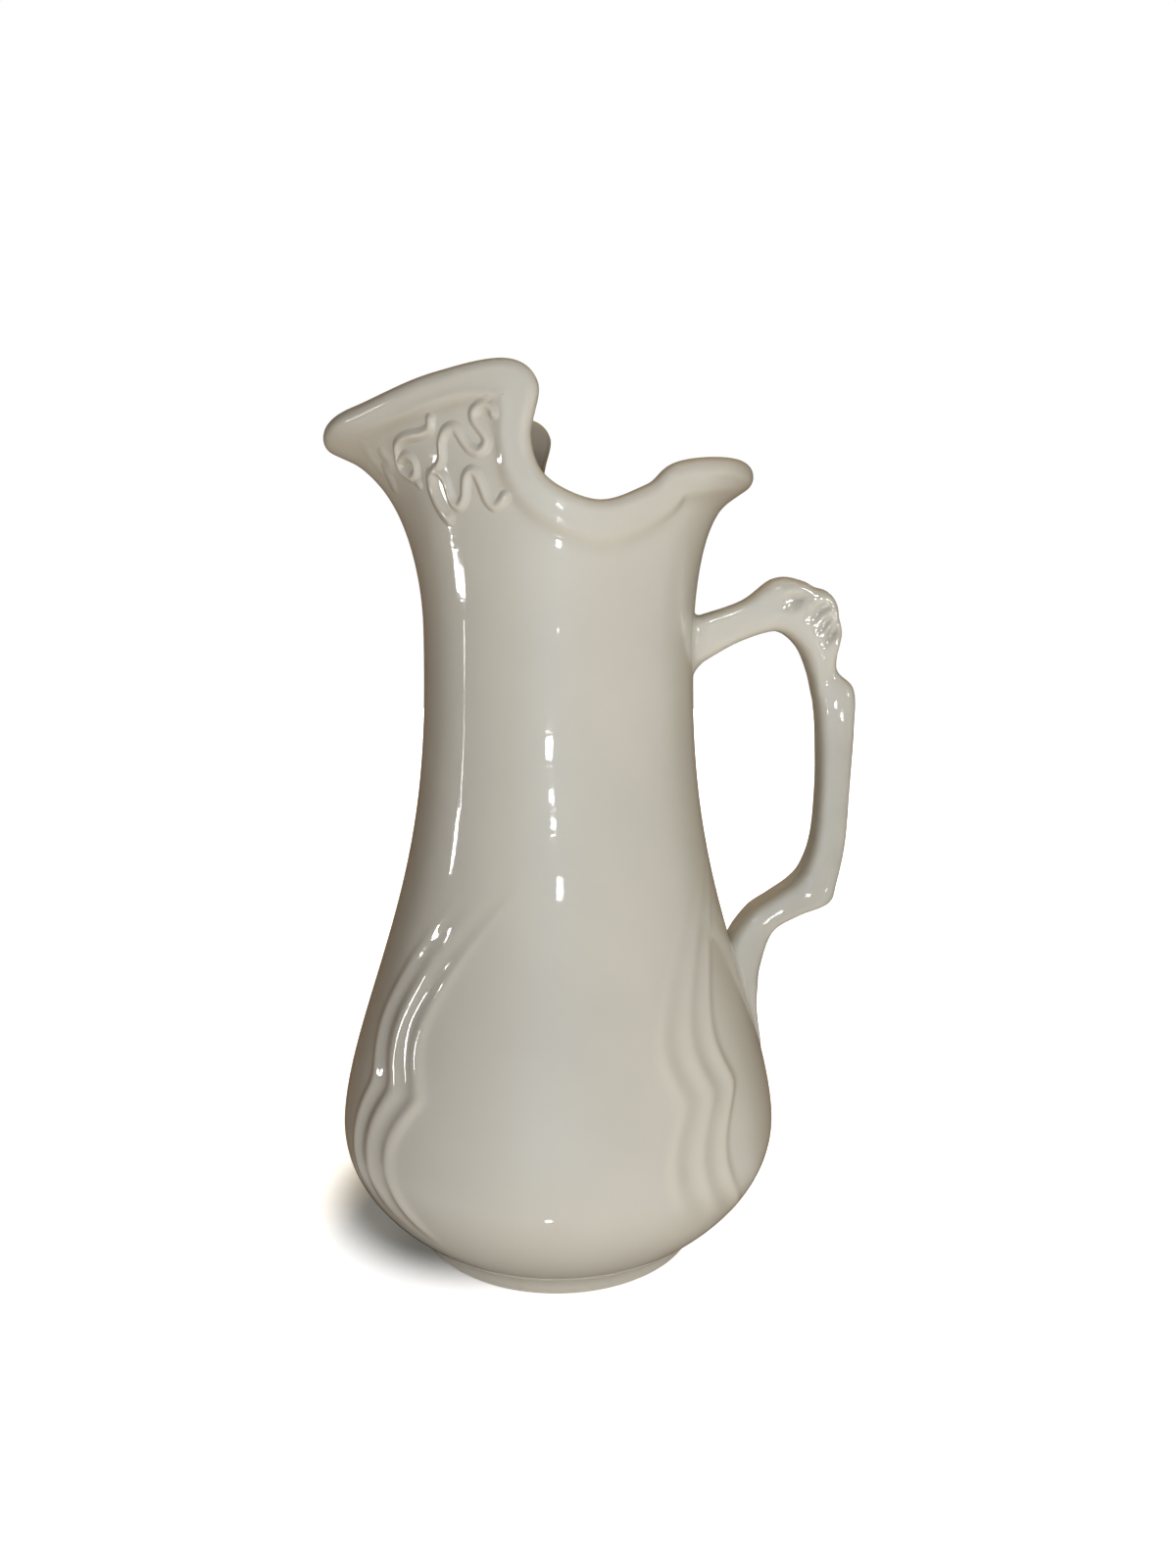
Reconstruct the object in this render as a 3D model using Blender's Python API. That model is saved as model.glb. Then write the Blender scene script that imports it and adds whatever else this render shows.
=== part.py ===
"""White glazed cream jug with an eared spout, swirled flutes on the belly and a knuckled handle.

Each piece that the potter makes separately is its own object: the cast body, the foot ring, the
cast handle, the two slip lutes that hold it, and the two scroll sprigs on the spout.
Metres, +Z up, +X towards the handle, -X towards the spout. The shapes are worked out about the
body's axis, and a parent empty moves them so that the origin is under the middle of the whole jug.
"""

import math

import bmesh
import bpy
from mathutils import Vector

# Body: turned profile from the foot to the neck
SEAT_RADIUS = 0.0280
BELLY_RADIUS = 0.0425
BELLY_HEIGHT = 0.0245
NECK_RADIUS = 0.0255
NECK_HEIGHT = 0.1190
WALL = 0.0034
FLOOR = 0.0042

# Foot ring
FOOT_HEIGHT = 0.0027
FOOT_RADIUS = 0.0273
FOOT_BORE = 0.0234
FOOT_ROUNDING = 0.0005

# Rim: reach from the axis and height of each of its features
LIP_REACH = 0.0361
LIP_HEIGHT = 0.1467
SADDLE_HEIGHT = 0.1408
EAR_REACH = 0.0305
EAR_HEIGHT = 0.1626
SPOUT_REACH = 0.0435
SPOUT_HEIGHT = 0.1530
SPOUT_SHOULDER = 0.0050
SPOUT_NOSE = math.radians(20)
EAR_BAND = 0.0048
SADDLE_BAND = 0.0064
BAND_RISE = 0.0006
RIM_ROUNDING = 0.0010

# Flutes: bundles of swirled ridges that double back at a cusp
BUNDLES = 4
FLUTES = 3
FLUTE_PITCH = math.radians(8.7)
FLUTE_RISE = 0.0008
BUNDLE_AZIMUTH = math.radians(-45.4)
CUSP_HEIGHT = 0.0397
UPPER_LOBE = 0.0178
UPPER_BULGE = math.radians(4.5)
LOWER_LOBE = 0.0192
LOWER_BULGE = math.radians(8.7)
TAIL_RISE = 0.0265
TAIL_CURL = math.radians(22.5)
TAIL_STAGGER = 0.0090
TOE_DROP = 0.0030
TOE_CURL = math.radians(4.5)

# Handle: its roots, and the reach, crown and elbow that its outline is measured from
HANDLE_REACH = 0.0565
CROWN_HEIGHT = 0.1295
ELBOW_HEIGHT = 0.0692
UPPER_ROOT_HEIGHT = 0.1168
UPPER_ROOT_DEPTH = 0.0098
UPPER_ROOT_WIDTH = 0.0104
TAIL_SEAT_TOP = 0.0588
TAIL_SEAT_FOOT = 0.0430
TAIL_DEPTH = 0.0071
TAIL_TIP = 0.0010
TAIL_WIDTH = 0.0102
TAIL_SLANT = math.radians(-38)

# Lutes and sprigs
JOINT_GAP = 0.0003
LUTE_RISE = 0.0013
LUTE_SPREAD = 0.0015
UPPER_LUTE_LEAN = math.radians(28)
LOWER_LUTE_LEAN = math.radians(50)
BEAD_WIDTH = 0.0017
BEAD_RISE = 0.0009
SCROLL_DROP = 0.0164
FACET_ALLOWANCE = 0.00015

# Facets
BUNDLE_STEPS = 4 * FLUTES
PLAIN_STEPS = 8
QUARTER = BUNDLE_STEPS + PLAIN_STEPS
COLUMNS = BUNDLES * QUARTER
COLUMN_SHIFT = 7
COLUMN_LEAN = math.radians(28)
LEAN_END = math.radians(170)
LEAN_FADE = math.radians(70)
RIM_SPAN_STEPS = 4
EAR_COLUMN = 7 * RIM_SPAN_STEPS
SPOUT_COLUMN = 10 * RIM_SPAN_STEPS
HANDLE_SIDES = 12
HANDLE_SPAN_STEPS = 3
FOOT_SIDES = 56
BEAD_SPAN_STEPS = 3

# Heights that follow from the sizes above
SEAT_HEIGHT = FOOT_HEIGHT + JOINT_GAP
CUSP_TOP = CUSP_HEIGHT + UPPER_LOBE
CUSP_FOOT = CUSP_HEIGHT - LOWER_LOBE
TAIL_TOP = CUSP_TOP + TAIL_RISE
TOE_FOOT = CUSP_FOOT - TOE_DROP

GLAZE = (0.76, 0.73, 0.68, 1.0)
GLAZE_ROUGHNESS = 0.12


def mix(a, b, t):
    return a + (b - a) * t


def ease(t):
    """Smooth step from 0 to 1, level at both ends."""
    t = min(max(t, 0.0), 1.0)
    return t * t * (3 - 2 * t)


def steps(start, end, count):
    """Evenly spaced values from just after start up to end."""
    return [mix(start, end, k / count) for k in range(1, count + 1)]


def between(p, q, r, s, t):
    """Catmull-Rom value from q to r, aimed by p and s."""
    return 0.5 * (2 * q + t * (r - p + t * (2 * p - 5 * q + 4 * r - s + t * (3 * q - p - 3 * r + s))))


def curve_through(points, per_span):
    """Smooth curve from the second point to the last but one. The end points only aim it."""
    found = []
    for four in zip(points, points[1:], points[2:], points[3:]):
        for k in range(per_span):
            found.append(tuple(between(*values, k / per_span) for values in zip(*four)))
    found.append(tuple(points[-2]))
    return found


def open_curve(points, per_span):
    """Smooth curve through all the points."""
    first = tuple(2 * a - b for a, b in zip(points[0], points[1]))
    last = tuple(2 * a - b for a, b in zip(points[-1], points[-2]))
    return curve_through([first, *points, last], per_span)


# The body's surface


def turned_radius(z):
    """Outside radius of the plain body: a round belly over the seat, then a long taper to the neck."""
    if z < BELLY_HEIGHT:
        t = max(z - SEAT_HEIGHT, 0) / (BELLY_HEIGHT - SEAT_HEIGHT)
        return mix(SEAT_RADIUS, BELLY_RADIUS, 1 - (1 - t) ** 2.1)
    t = min((z - BELLY_HEIGHT) / (NECK_HEIGHT - BELLY_HEIGHT), 1)
    return mix(NECK_RADIUS, BELLY_RADIUS, ((1 + math.cos(math.pi * t**0.8)) / 2) ** 1.35)


def flared_radius(azimuth, z):
    """Outside radius above the neck, flaring to the lip, the ears and the nose of the spout."""
    forward = math.cos(azimuth)
    lip = ease(forward)
    spout = max(-forward, 0) ** 2
    off_nose = math.pi - abs(math.remainder(azimuth, 2 * math.pi))
    nose = math.exp(-((off_nose / SPOUT_NOSE) ** 2))
    reach = EAR_REACH + (LIP_REACH - EAR_REACH) * lip + SPOUT_SHOULDER * spout
    reach += (SPOUT_REACH - EAR_REACH - SPOUT_SHOULDER) * nose
    height = EAR_HEIGHT + (LIP_HEIGHT - EAR_HEIGHT) * lip + (SPOUT_HEIGHT - EAR_HEIGHT) * spout
    t = max(z - NECK_HEIGHT, 0) / (height - NECK_HEIGHT)
    trumpet = mix(t**7, t**2, 0.46 if forward > 0 else 0.57)
    flare = mix(ease(t), trumpet, abs(forward) ** 1.5)
    return mix(NECK_RADIUS, reach, flare)


def plain_radius(azimuth, z):
    return turned_radius(z) if z < NECK_HEIGHT else flared_radius(azimuth, z)


def swirl(z):
    """How far the flutes have turned at a height: two lobes that meet at the cusp, a tail and a toe."""
    z = min(max(z, TOE_FOOT), TAIL_TOP)
    if z > CUSP_HEIGHT:
        slope = math.pi * UPPER_BULGE / UPPER_LOBE
        over = max(z - CUSP_TOP, 0)
        lobe = -UPPER_BULGE * math.sin(math.pi * min((z - CUSP_HEIGHT) / UPPER_LOBE, 1))
        return lobe + slope * over + TAIL_CURL * (over / TAIL_RISE) ** 2
    slope = math.pi * LOWER_BULGE / LOWER_LOBE
    under = max(CUSP_FOOT - z, 0)
    lobe = -LOWER_BULGE * math.sin(math.pi * min((CUSP_HEIGHT - z) / LOWER_LOBE, 1))
    return lobe + slope * under + TOE_CURL * (under / TOE_DROP) ** 2


def flute_rise(azimuth, z):
    """Height of the ridges above the plain body. The leading ridge of a bundle runs up furthest."""
    turn = 2 * math.pi / BUNDLES
    off = math.remainder(azimuth - BUNDLE_AZIMUTH - swirl(z), turn)
    if abs(off) > FLUTES * FLUTE_PITCH / 2:
        return 0.0
    wave = (1 - math.cos(2 * math.pi * (off / FLUTE_PITCH + FLUTES / 2))) / 2
    top = TAIL_TOP - TAIL_STAGGER * (1 - off / FLUTE_PITCH)
    fade_in = ease((z - SEAT_HEIGHT - 0.6 * TOE_FOOT) / (CUSP_FOOT - 0.6 * TOE_FOOT))
    fade_out = ease((top - z) / (top - CUSP_HEIGHT))
    return FLUTE_RISE * wave * fade_in * fade_out


def plain_point(azimuth, z):
    radius = plain_radius(azimuth, z)
    return Vector((radius * math.cos(azimuth), radius * math.sin(azimuth), z))


def plain_normal(azimuth, z):
    """Outward normal of the plain surface, from its slopes."""
    small = 1e-4
    along = plain_point(azimuth + small, z) - plain_point(azimuth - small, z)
    up = plain_point(azimuth, z + small) - plain_point(azimuth, z - small)
    return along.cross(up).normalized()


def wall_point(azimuth, z, depth=0.0):
    """A point this far inside the plain surface."""
    return plain_point(azimuth, z) - depth * plain_normal(azimuth, z)


def fluted_point(azimuth, z):
    radius = turned_radius(z) + flute_rise(azimuth, z)
    return Vector((radius * math.cos(azimuth), radius * math.sin(azimuth), z))


# The rim, as azimuth and height


def rim_outline():
    """One azimuth and height for each column, from the lip round the near ear, the spout and back."""
    ear = EAR_HEIGHT - SADDLE_HEIGHT
    lip = LIP_HEIGHT - SADDLE_HEIGHT
    spout = EAR_HEIGHT - SPOUT_HEIGHT
    half = [
        (0, LIP_HEIGHT),
        (45, SADDLE_HEIGHT + 1.08 * lip),
        (58, SADDLE_HEIGHT + 0.43 * lip),
        (75, SADDLE_HEIGHT),
        (92.5, SADDLE_HEIGHT + 0.16 * ear),
        (97.7, SADDLE_HEIGHT + 0.44 * ear),
        (95, SADDLE_HEIGHT + 0.82 * ear),
        (104.5, EAR_HEIGHT),
        (128, EAR_HEIGHT - 0.20 * spout),
        (158, EAR_HEIGHT - 0.69 * spout),
        (180, SPOUT_HEIGHT),
    ]
    half = [(math.radians(degrees), height) for degrees, height in half]
    before = (-half[1][0], half[1][1])
    after = (2 * math.pi - half[-2][0], half[-2][1])
    near = curve_through([before, *half, after], RIM_SPAN_STEPS)
    far = [(2 * math.pi - azimuth, height) for azimuth, height in near[-2:0:-1]]
    return near + far


def inward_directions(outline):
    """Unit directions from the rim into the wall, on the surface laid flat, evened out round corners."""
    count = len(outline)
    found = []
    for k in range(count):
        a = outline[k - 1]
        b = outline[(k + 1) % count]
        along = math.remainder(b[0] - a[0], 2 * math.pi) * EAR_REACH
        found.append(Vector((b[1] - a[1], -along)).normalized())
    for _ in range(7):
        found = [
            (found[k - 1] + 2 * found[k] + found[(k + 1) % count]).normalized() for k in range(count)
        ]
    return found


def inset(outline, distances):
    """The rim outline moved these distances down the wall, measured on the flared surface."""
    found = []
    for (azimuth, height), way, distance in zip(outline, inward_directions(outline), distances):
        flat = (azimuth + way.x * distance / EAR_REACH, height + way.y * distance)
        stretch = (plain_point(*flat) - plain_point(azimuth, height)).length / distance
        found.append((mix(azimuth, flat[0], 1 / stretch), mix(height, flat[1], 1 / stretch)))
    return found


def band_widths(outline):
    """Width of the border band at each column: widest under the saddles, narrowest round the ears."""
    low = [(EAR_HEIGHT - height) / (EAR_HEIGHT - SADDLE_HEIGHT) for _, height in outline]
    return [mix(EAR_BAND, SADDLE_BAND, t * t) for t in low]


def band_foot(outline):
    """The border band's lower edge, where it runs out into the plain wall."""
    return inset(outline, [width + BAND_RISE for width in band_widths(outline)])


def column_lean(azimuth, z):
    """How far a column leans round at a height, to come up into the ear from the spout's side."""
    off = math.remainder(azimuth, 2 * math.pi)
    high = max(z - SADDLE_HEIGHT, 0) / (EAR_HEIGHT - SADDLE_HEIGHT)
    share = ease(abs(off) / LEAN_FADE) * ease((LEAN_END - abs(off)) / LEAN_FADE)
    return math.copysign(COLUMN_LEAN * high * share, off)


def columns_up(foot, t):
    """The columns at a share of the way from the neck up to the band's foot. None cross."""
    found = []
    for azimuth, height in foot:
        start = place = azimuth + column_lean(azimuth, height)
        z = mix(NECK_HEIGHT, height, t)
        for _ in range(20):
            place = start - column_lean(place, z)
        found.append((place, z))
    return found


def blend(first, second, t):
    return [tuple(mix(p, q, t) for p, q in zip(a, b)) for a, b in zip(first, second)]


# Meshes


def ring_of(outline, depth=0.0):
    return [wall_point(azimuth, height, depth) for azimuth, height in outline]


def add_object(name, bm, parent):
    """A named, glazed object made from the mesh, with its faces pointing out."""
    bmesh.ops.recalc_face_normals(bm, faces=bm.faces)
    mesh = bpy.data.meshes.new(name)
    bm.to_mesh(mesh)
    bm.free()
    mesh.shade_smooth()
    mesh.set_sharp_from_angle(angle=math.radians(50))
    material = bpy.data.materials.new(name + "_glaze")
    material.use_nodes = True
    shader = material.node_tree.nodes["Principled BSDF"]
    shader.inputs["Base Color"].default_value = GLAZE
    shader.inputs["Roughness"].default_value = GLAZE_ROUGHNESS
    shader.inputs["Metallic"].default_value = 0.0
    mesh.materials.append(material)
    piece = bpy.data.objects.new(name, mesh)
    bpy.context.scene.collection.objects.link(piece)
    piece.parent = parent
    return piece


def join_rings(bm, rings, loop=False):
    """Quads between each ring of points and the next, and back to the first if it is a loop."""
    rows = [[bm.verts.new(point) for point in ring] for ring in rings]
    pairs = list(zip(rows, rows[1:]))
    if loop:
        pairs.append((rows[-1], rows[0]))
    for low, high in pairs:
        for k in range(len(low)):
            bm.faces.new((low[k - 1], low[k], high[k], high[k - 1]))
    return rows


def close_end(bm, row, centre):
    """A fan from the row to a middle point."""
    middle = bm.verts.new(centre)
    for k in range(len(row)):
        bm.faces.new((row[k - 1], row[k], middle))


def belly_columns():
    """Azimuth of each column before the swirl: close together on the flutes, wider between them."""
    half = FLUTES * FLUTE_PITCH / 2
    turn = 2 * math.pi / BUNDLES
    quarter = [-half] + steps(-half, half, BUNDLE_STEPS) + steps(half, turn - half, PLAIN_STEPS)[:-1]
    found = [BUNDLE_AZIMUTH + k * turn + angle for k in range(BUNDLES) for angle in quarter]
    return found[COLUMN_SHIFT:] + [angle + 2 * math.pi for angle in found[:COLUMN_SHIFT]]


def body_rings():
    """Rings of the body from the edge of its underside, up the outside, over the rim and down inside."""
    columns = belly_columns()
    rim = rim_outline()
    foot = band_foot(rim)
    neck = columns_up(foot, 0)
    heights = (
        [SEAT_HEIGHT]
        + steps(SEAT_HEIGHT, CUSP_FOOT, 6)
        + steps(CUSP_FOOT, CUSP_HEIGHT, 7)
        + steps(CUSP_HEIGHT, CUSP_TOP, 6)
        + steps(CUSP_TOP, TAIL_TOP, 7)
    )
    rings = [[fluted_point(angle + swirl(z), z) for angle in columns] for z in heights]
    top = [(angle + swirl(TAIL_TOP), TAIL_TOP) for angle in columns]
    rings += [ring_of(blend(top, neck, t)) for t in steps(0, 1, 4)]

    widths = band_widths(rim)
    shoulder = inset(rim, [RIM_ROUNDING] * COLUMNS)
    edge = inset(rim, [RIM_ROUNDING / 4] * COLUMNS)
    rings += [ring_of(columns_up(foot, t)) for t in steps(0, 1, 6)]
    rings += [ring_of(inset(rim, [share * w for w in widths]), -BAND_RISE) for share in (1, 0.5)]
    rings += [ring_of(shoulder, -BAND_RISE)]
    rings += [ring_of(edge, 0.15 * WALL), ring_of(rim, WALL / 2), ring_of(edge, 0.85 * WALL)]
    rings += [ring_of(shoulder, WALL)]
    rings += [ring_of(columns_up(foot, t), WALL) for t in (1, 0.65, 0.3, 0)]
    floor = SEAT_HEIGHT + FLOOR
    for z in steps(NECK_HEIGHT, BELLY_HEIGHT, 8) + steps(BELLY_HEIGHT, floor, 4):
        rings.append(ring_of([(azimuth, z) for azimuth, _ in neck], WALL))
    return rings


def add_body(parent):
    bm = bmesh.new()
    rows = join_rings(bm, body_rings())
    close_end(bm, rows[0], (0, 0, SEAT_HEIGHT))
    floor = sum((vertex.co.z for vertex in rows[-1]), 0.0) / COLUMNS
    close_end(bm, rows[-1], (0, 0, floor))
    return add_object("body", bm, parent)


def add_foot_ring(parent):
    """A turned ring, flat under its foot, that the body's underside sits on."""
    top = FOOT_HEIGHT
    profile = [
        (SEAT_RADIUS, top),
        (mix(FOOT_RADIUS, SEAT_RADIUS, 0.3), top / 2),
        (FOOT_RADIUS, FOOT_ROUNDING),
        (FOOT_RADIUS - FOOT_ROUNDING, 0),
        (FOOT_BORE + FOOT_ROUNDING, 0),
        (FOOT_BORE, FOOT_ROUNDING),
        (FOOT_BORE - FOOT_ROUNDING, top),
    ]
    turns = [2 * math.pi * k / FOOT_SIDES for k in range(FOOT_SIDES)]
    bm = bmesh.new()
    join_rings(bm, [[(r * math.cos(a), r * math.sin(a), z) for a in turns] for r, z in profile], loop=True)
    return add_object("foot_ring", bm, parent)


# The handle and its lutes


def seated(y, z, lift=0.0):
    """A point on the handle's side of the joint with the body, this far out from it."""
    radius = plain_radius(0, z) + JOINT_GAP
    return Vector((math.sqrt(radius**2 - y**2) + lift, y, z))


def handle_stations():
    """Outer and inner point of each section in the handle's middle plane, and its width."""
    reach, crown, elbow = HANDLE_REACH, CROWN_HEIGHT, ELBOW_HEIGHT
    rows = [
        (reach - 0.0221, crown - 0.0045, reach - 0.0241, crown - 0.0130, 0.0088),
        (reach - 0.0161, crown - 0.0007, reach - 0.0177, crown - 0.0105, 0.0090),
        (reach - 0.0110, crown - 0.0002, reach - 0.0143, crown - 0.0105, 0.0100),
        (reach - 0.0055, crown - 0.0027, reach - 0.0111, crown - 0.0133, 0.0106),
        (reach - 0.0030, crown - 0.0099, reach - 0.0091, crown - 0.0177, 0.0100),
        (reach - 0.0038, crown - 0.0169, reach - 0.0080, crown - 0.0220, 0.0086),
        (reach - 0.0003, crown - 0.0209, reach - 0.0075, crown - 0.0245, 0.0092),
        (reach, crown - 0.0280, reach - 0.0070, crown - 0.0300, 0.0092),
        (reach - 0.0003, crown - 0.0395, reach - 0.0067, crown - 0.0395, 0.0088),
        (reach - 0.0011, elbow + 0.0098, reach - 0.0073, elbow + 0.0108, 0.0088),
        (reach - 0.0025, elbow + 0.0018, reach - 0.0091, elbow + 0.0048, 0.0094),
        (reach - 0.0039, elbow - 0.0023, reach - 0.0116, elbow + 0.0017, 0.0096),
        (reach - 0.0099, elbow - 0.0050, reach - 0.0155, elbow - 0.0011, 0.0092),
        (reach - 0.0147, elbow - 0.0082, reach - 0.0197, elbow - 0.0043, 0.0096),
    ]
    for t in (0, 0.35, 0.7, 1):
        inner = seated(0, mix(TAIL_SEAT_TOP, TAIL_SEAT_FOOT, t), FACET_ALLOWANCE)
        depth = mix(TAIL_DEPTH, TAIL_TIP, math.sqrt(t))
        outer = inner + depth * Vector((math.cos(TAIL_SLANT), 0, math.sin(TAIL_SLANT)))
        rows.append((outer.x, outer.z, inner.x, inner.z, TAIL_WIDTH * math.sqrt(1 - 0.5 * t**3)))
    return rows


def section_angles():
    return [2 * math.pi * k / HANDLE_SIDES for k in range(HANDLE_SIDES)]


def squarish(angle):
    """A point on a rounded square from -1 to 1 each way."""
    c, s = math.cos(angle), math.sin(angle)
    power = 0.72
    return math.copysign(abs(c) ** power, c), math.copysign(abs(s) ** power, s)


def upper_root_outline(grow=0.0):
    """Outline of the handle's upper root on the neck, as y and z, moved out by grow."""
    found = []
    for angle in section_angles():
        depth, across = squarish(angle)
        found.append(
            (
                across * (UPPER_ROOT_WIDTH / 2 + grow),
                UPPER_ROOT_HEIGHT + depth * (UPPER_ROOT_DEPTH / 2 + grow),
            )
        )
    return found


def add_handle(parent):
    rings = [[seated(y, z) for y, z in upper_root_outline()]]
    root = UPPER_ROOT_DEPTH / 2
    high, low = seated(0, UPPER_ROOT_HEIGHT + root), seated(0, UPPER_ROOT_HEIGHT - root)
    stations = [(high.x, high.z, low.x, low.z, UPPER_ROOT_WIDTH), *handle_stations()]
    for outer_x, outer_z, inner_x, inner_z, width in open_curve(stations, HANDLE_SPAN_STEPS)[1:]:
        middle = Vector((outer_x + inner_x, 0, outer_z + inner_z)) / 2
        out = Vector((outer_x - inner_x, 0, outer_z - inner_z)) / 2
        side = Vector((0, width / 2, 0))
        corners = [squarish(angle) for angle in section_angles()]
        rings.append([middle + depth * out + across * side for depth, across in corners])
    bm = bmesh.new()
    rows = join_rings(bm, rings)
    close_end(bm, rows[0], seated(0, UPPER_ROOT_HEIGHT))
    tip = sum((vertex.co for vertex in rows[-1]), Vector()) / HANDLE_SIDES
    close_end(bm, rows[-1], tip)
    return add_object("handle", bm, parent)


def add_lute(name, outline_of, lean_at, parent):
    """A hollow fillet round a root: flat on the body, close to the handle, and dished between."""

    def ring(grow, rise):
        points = []
        for y, z in outline_of(grow):
            lean = lean_at(z)
            points.append(seated(y, z + rise * math.sin(lean), rise * math.cos(lean)))
        return points

    bm = bmesh.new()
    join_rings(
        bm,
        [
            ring(JOINT_GAP, 0),
            ring(JOINT_GAP + LUTE_SPREAD, 0),
            ring(JOINT_GAP + 0.35 * LUTE_SPREAD, 0.35 * LUTE_RISE),
            ring(JOINT_GAP, LUTE_RISE),
        ],
        loop=True,
    )
    return add_object(name, bm, parent)


def tail_outline(grow=0.0):
    """Outline of the handle's tail on the belly, as y and z, moved out by grow."""
    middle = (TAIL_SEAT_TOP + TAIL_SEAT_FOOT) / 2
    half = (TAIL_SEAT_TOP - TAIL_SEAT_FOOT) / 2 + TAIL_TIP
    found = []
    for angle in section_angles():
        up, across = squarish(angle)
        found.append((across * (TAIL_WIDTH / 2 + grow), middle + up * (half + grow)))
    return found


def tail_lean(z):
    """The lower lute leans up into the crook of the handle and down under the tip of the tail."""
    return LOWER_LUTE_LEAN * (2 * z - TAIL_SEAT_TOP - TAIL_SEAT_FOOT) / (TAIL_SEAT_TOP - TAIL_SEAT_FOOT)


# The scroll sprigs


def scroll_paths():
    """The two strokes of the scroll: a hook that runs into a wave, and a crook.

    Each place is an azimuth in degrees and a share of the scroll's drop below the border band.
    """
    hook = [(131, 0.10), (133, 0.146), (146, 0.10), (151.5, 0.21), (149, 0.40), (139.5, 0.55)]
    wave = [(134, 0.58), (126.2, 0.93), (118.8, 0.645), (112, 1.0), (109.5, 0.985)]
    crook = [
        (138, 0.54),
        (131, 0.44),
        (128.5, 0.24),
        (123.4, 0.18),
        (118, 0.405),
        (114, 0.45),
        (112.3, 0.33),
        (113.5, 0.185),
        (110.5, 0.15),
    ]
    return hook + wave, crook


def under_band(path):
    """The path as azimuth and height, hung from the border band between the ear and the spout."""
    foot = band_foot(rim_outline())[EAR_COLUMN : SPOUT_COLUMN + 1]
    found = []
    for degrees, share in path:
        azimuth = math.radians(degrees)
        for (a, high), (b, low) in zip(foot, foot[1:]):
            if a < azimuth <= b:
                edge = mix(high, low, (azimuth - a) / (b - a))
                found.append((azimuth, edge - share * SCROLL_DROP))
    return found


def bead(path, side):
    """A half-round bead laid along a path on the wall, on one side of the jug."""
    path = open_curve(under_band(path), BEAD_SPAN_STEPS)
    path = [(side * azimuth, height) for azimuth, height in path]
    clearance = JOINT_GAP + FACET_ALLOWANCE
    places = [wall_point(azimuth, height, -clearance) for azimuth, height in path]
    rings = []
    for k, (azimuth, height) in enumerate(path):
        out = plain_normal(azimuth, height)
        along = places[min(k + 1, len(path) - 1)] - places[max(k - 1, 0)]
        across = out.cross(along).normalized() * BEAD_WIDTH / 2
        shape = ((-1, 0), (-0.8, 0.6), (0, 1), (0.8, 0.6), (1, 0))
        rings.append([places[k] + across * x + out * (BEAD_RISE * y) for x, y in shape])
    bm = bmesh.new()
    rows = join_rings(bm, rings)
    for row in (rows[0], rows[-1]):
        bm.faces.new(row)
    return bm


def add_sprig(name, side, parent):
    """Both strokes of the scroll joined into one relief."""
    main, crook = scroll_paths()
    sprig = add_object(name, bead(main, side), parent)
    stroke = add_object(name + "_crook", bead(crook, side), parent)
    stroke.hide_render = True
    stroke.display_type = "WIRE"
    union = sprig.modifiers.new("crook", "BOOLEAN")
    union.operation = "UNION"
    union.object = stroke
    return sprig


def main():
    for old in list(bpy.data.objects):
        bpy.data.objects.remove(old, do_unlink=True)
    jug = bpy.data.objects.new("creamer", None)
    bpy.context.scene.collection.objects.link(jug)

    pieces = [
        add_body(jug),
        add_foot_ring(jug),
        add_handle(jug),
        add_lute("upper_handle_lute", upper_root_outline, lambda z: UPPER_LUTE_LEAN, jug),
        add_lute("lower_handle_lute", tail_outline, tail_lean, jug),
        add_sprig("spout_scroll_near", -1, jug),
        add_sprig("spout_scroll_far", 1, jug),
    ]
    reach = [vertex.co.x for piece in pieces for vertex in piece.data.vertices]
    jug.location.x = -(min(reach) + max(reach)) / 2
    bpy.context.view_layer.update()


main()
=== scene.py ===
"""Looks of the white glazed cream jug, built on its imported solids.

Lengths are metres in the frame of the solids: +Z up, +X towards the handle, -X towards the spout.
The wall is worked out about the jug's own axis as a function of azimuth and height, so the body, the
scrolls and both roots of the handle lie on one and the same surface.
"""

import logging
import math
from collections.abc import Sequence
from dataclasses import dataclass
from enum import Enum

import bpy
import numpy as np
from mathutils import Matrix, Vector


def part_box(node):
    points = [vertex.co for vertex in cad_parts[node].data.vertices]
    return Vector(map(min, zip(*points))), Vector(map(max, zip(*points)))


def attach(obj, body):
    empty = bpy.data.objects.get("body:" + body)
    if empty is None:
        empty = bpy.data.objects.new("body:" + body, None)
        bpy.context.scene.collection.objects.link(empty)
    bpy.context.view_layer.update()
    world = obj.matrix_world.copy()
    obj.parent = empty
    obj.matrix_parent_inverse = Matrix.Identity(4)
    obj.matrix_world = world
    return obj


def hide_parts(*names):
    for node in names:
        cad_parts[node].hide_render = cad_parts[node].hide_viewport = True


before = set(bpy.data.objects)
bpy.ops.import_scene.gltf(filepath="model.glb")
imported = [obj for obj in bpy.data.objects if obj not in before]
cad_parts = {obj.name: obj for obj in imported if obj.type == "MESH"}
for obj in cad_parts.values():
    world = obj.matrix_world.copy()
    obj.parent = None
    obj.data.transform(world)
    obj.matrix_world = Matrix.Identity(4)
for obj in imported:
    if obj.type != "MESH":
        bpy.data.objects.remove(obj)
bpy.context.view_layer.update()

LOG = logging.getLogger("cream_jug")
Array = np.ndarray
Colour = tuple[float, float, float]
Place = tuple[float, float, float]
Socket = bpy.types.NodeSocket
Tree = bpy.types.NodeTree

WHITE: Colour = (1.0, 1.0, 1.0)
BLACK: Colour = (0.0, 0.0, 0.0)
PLACES_AT_ONCE = 4000
TINY = 1e-18


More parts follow.
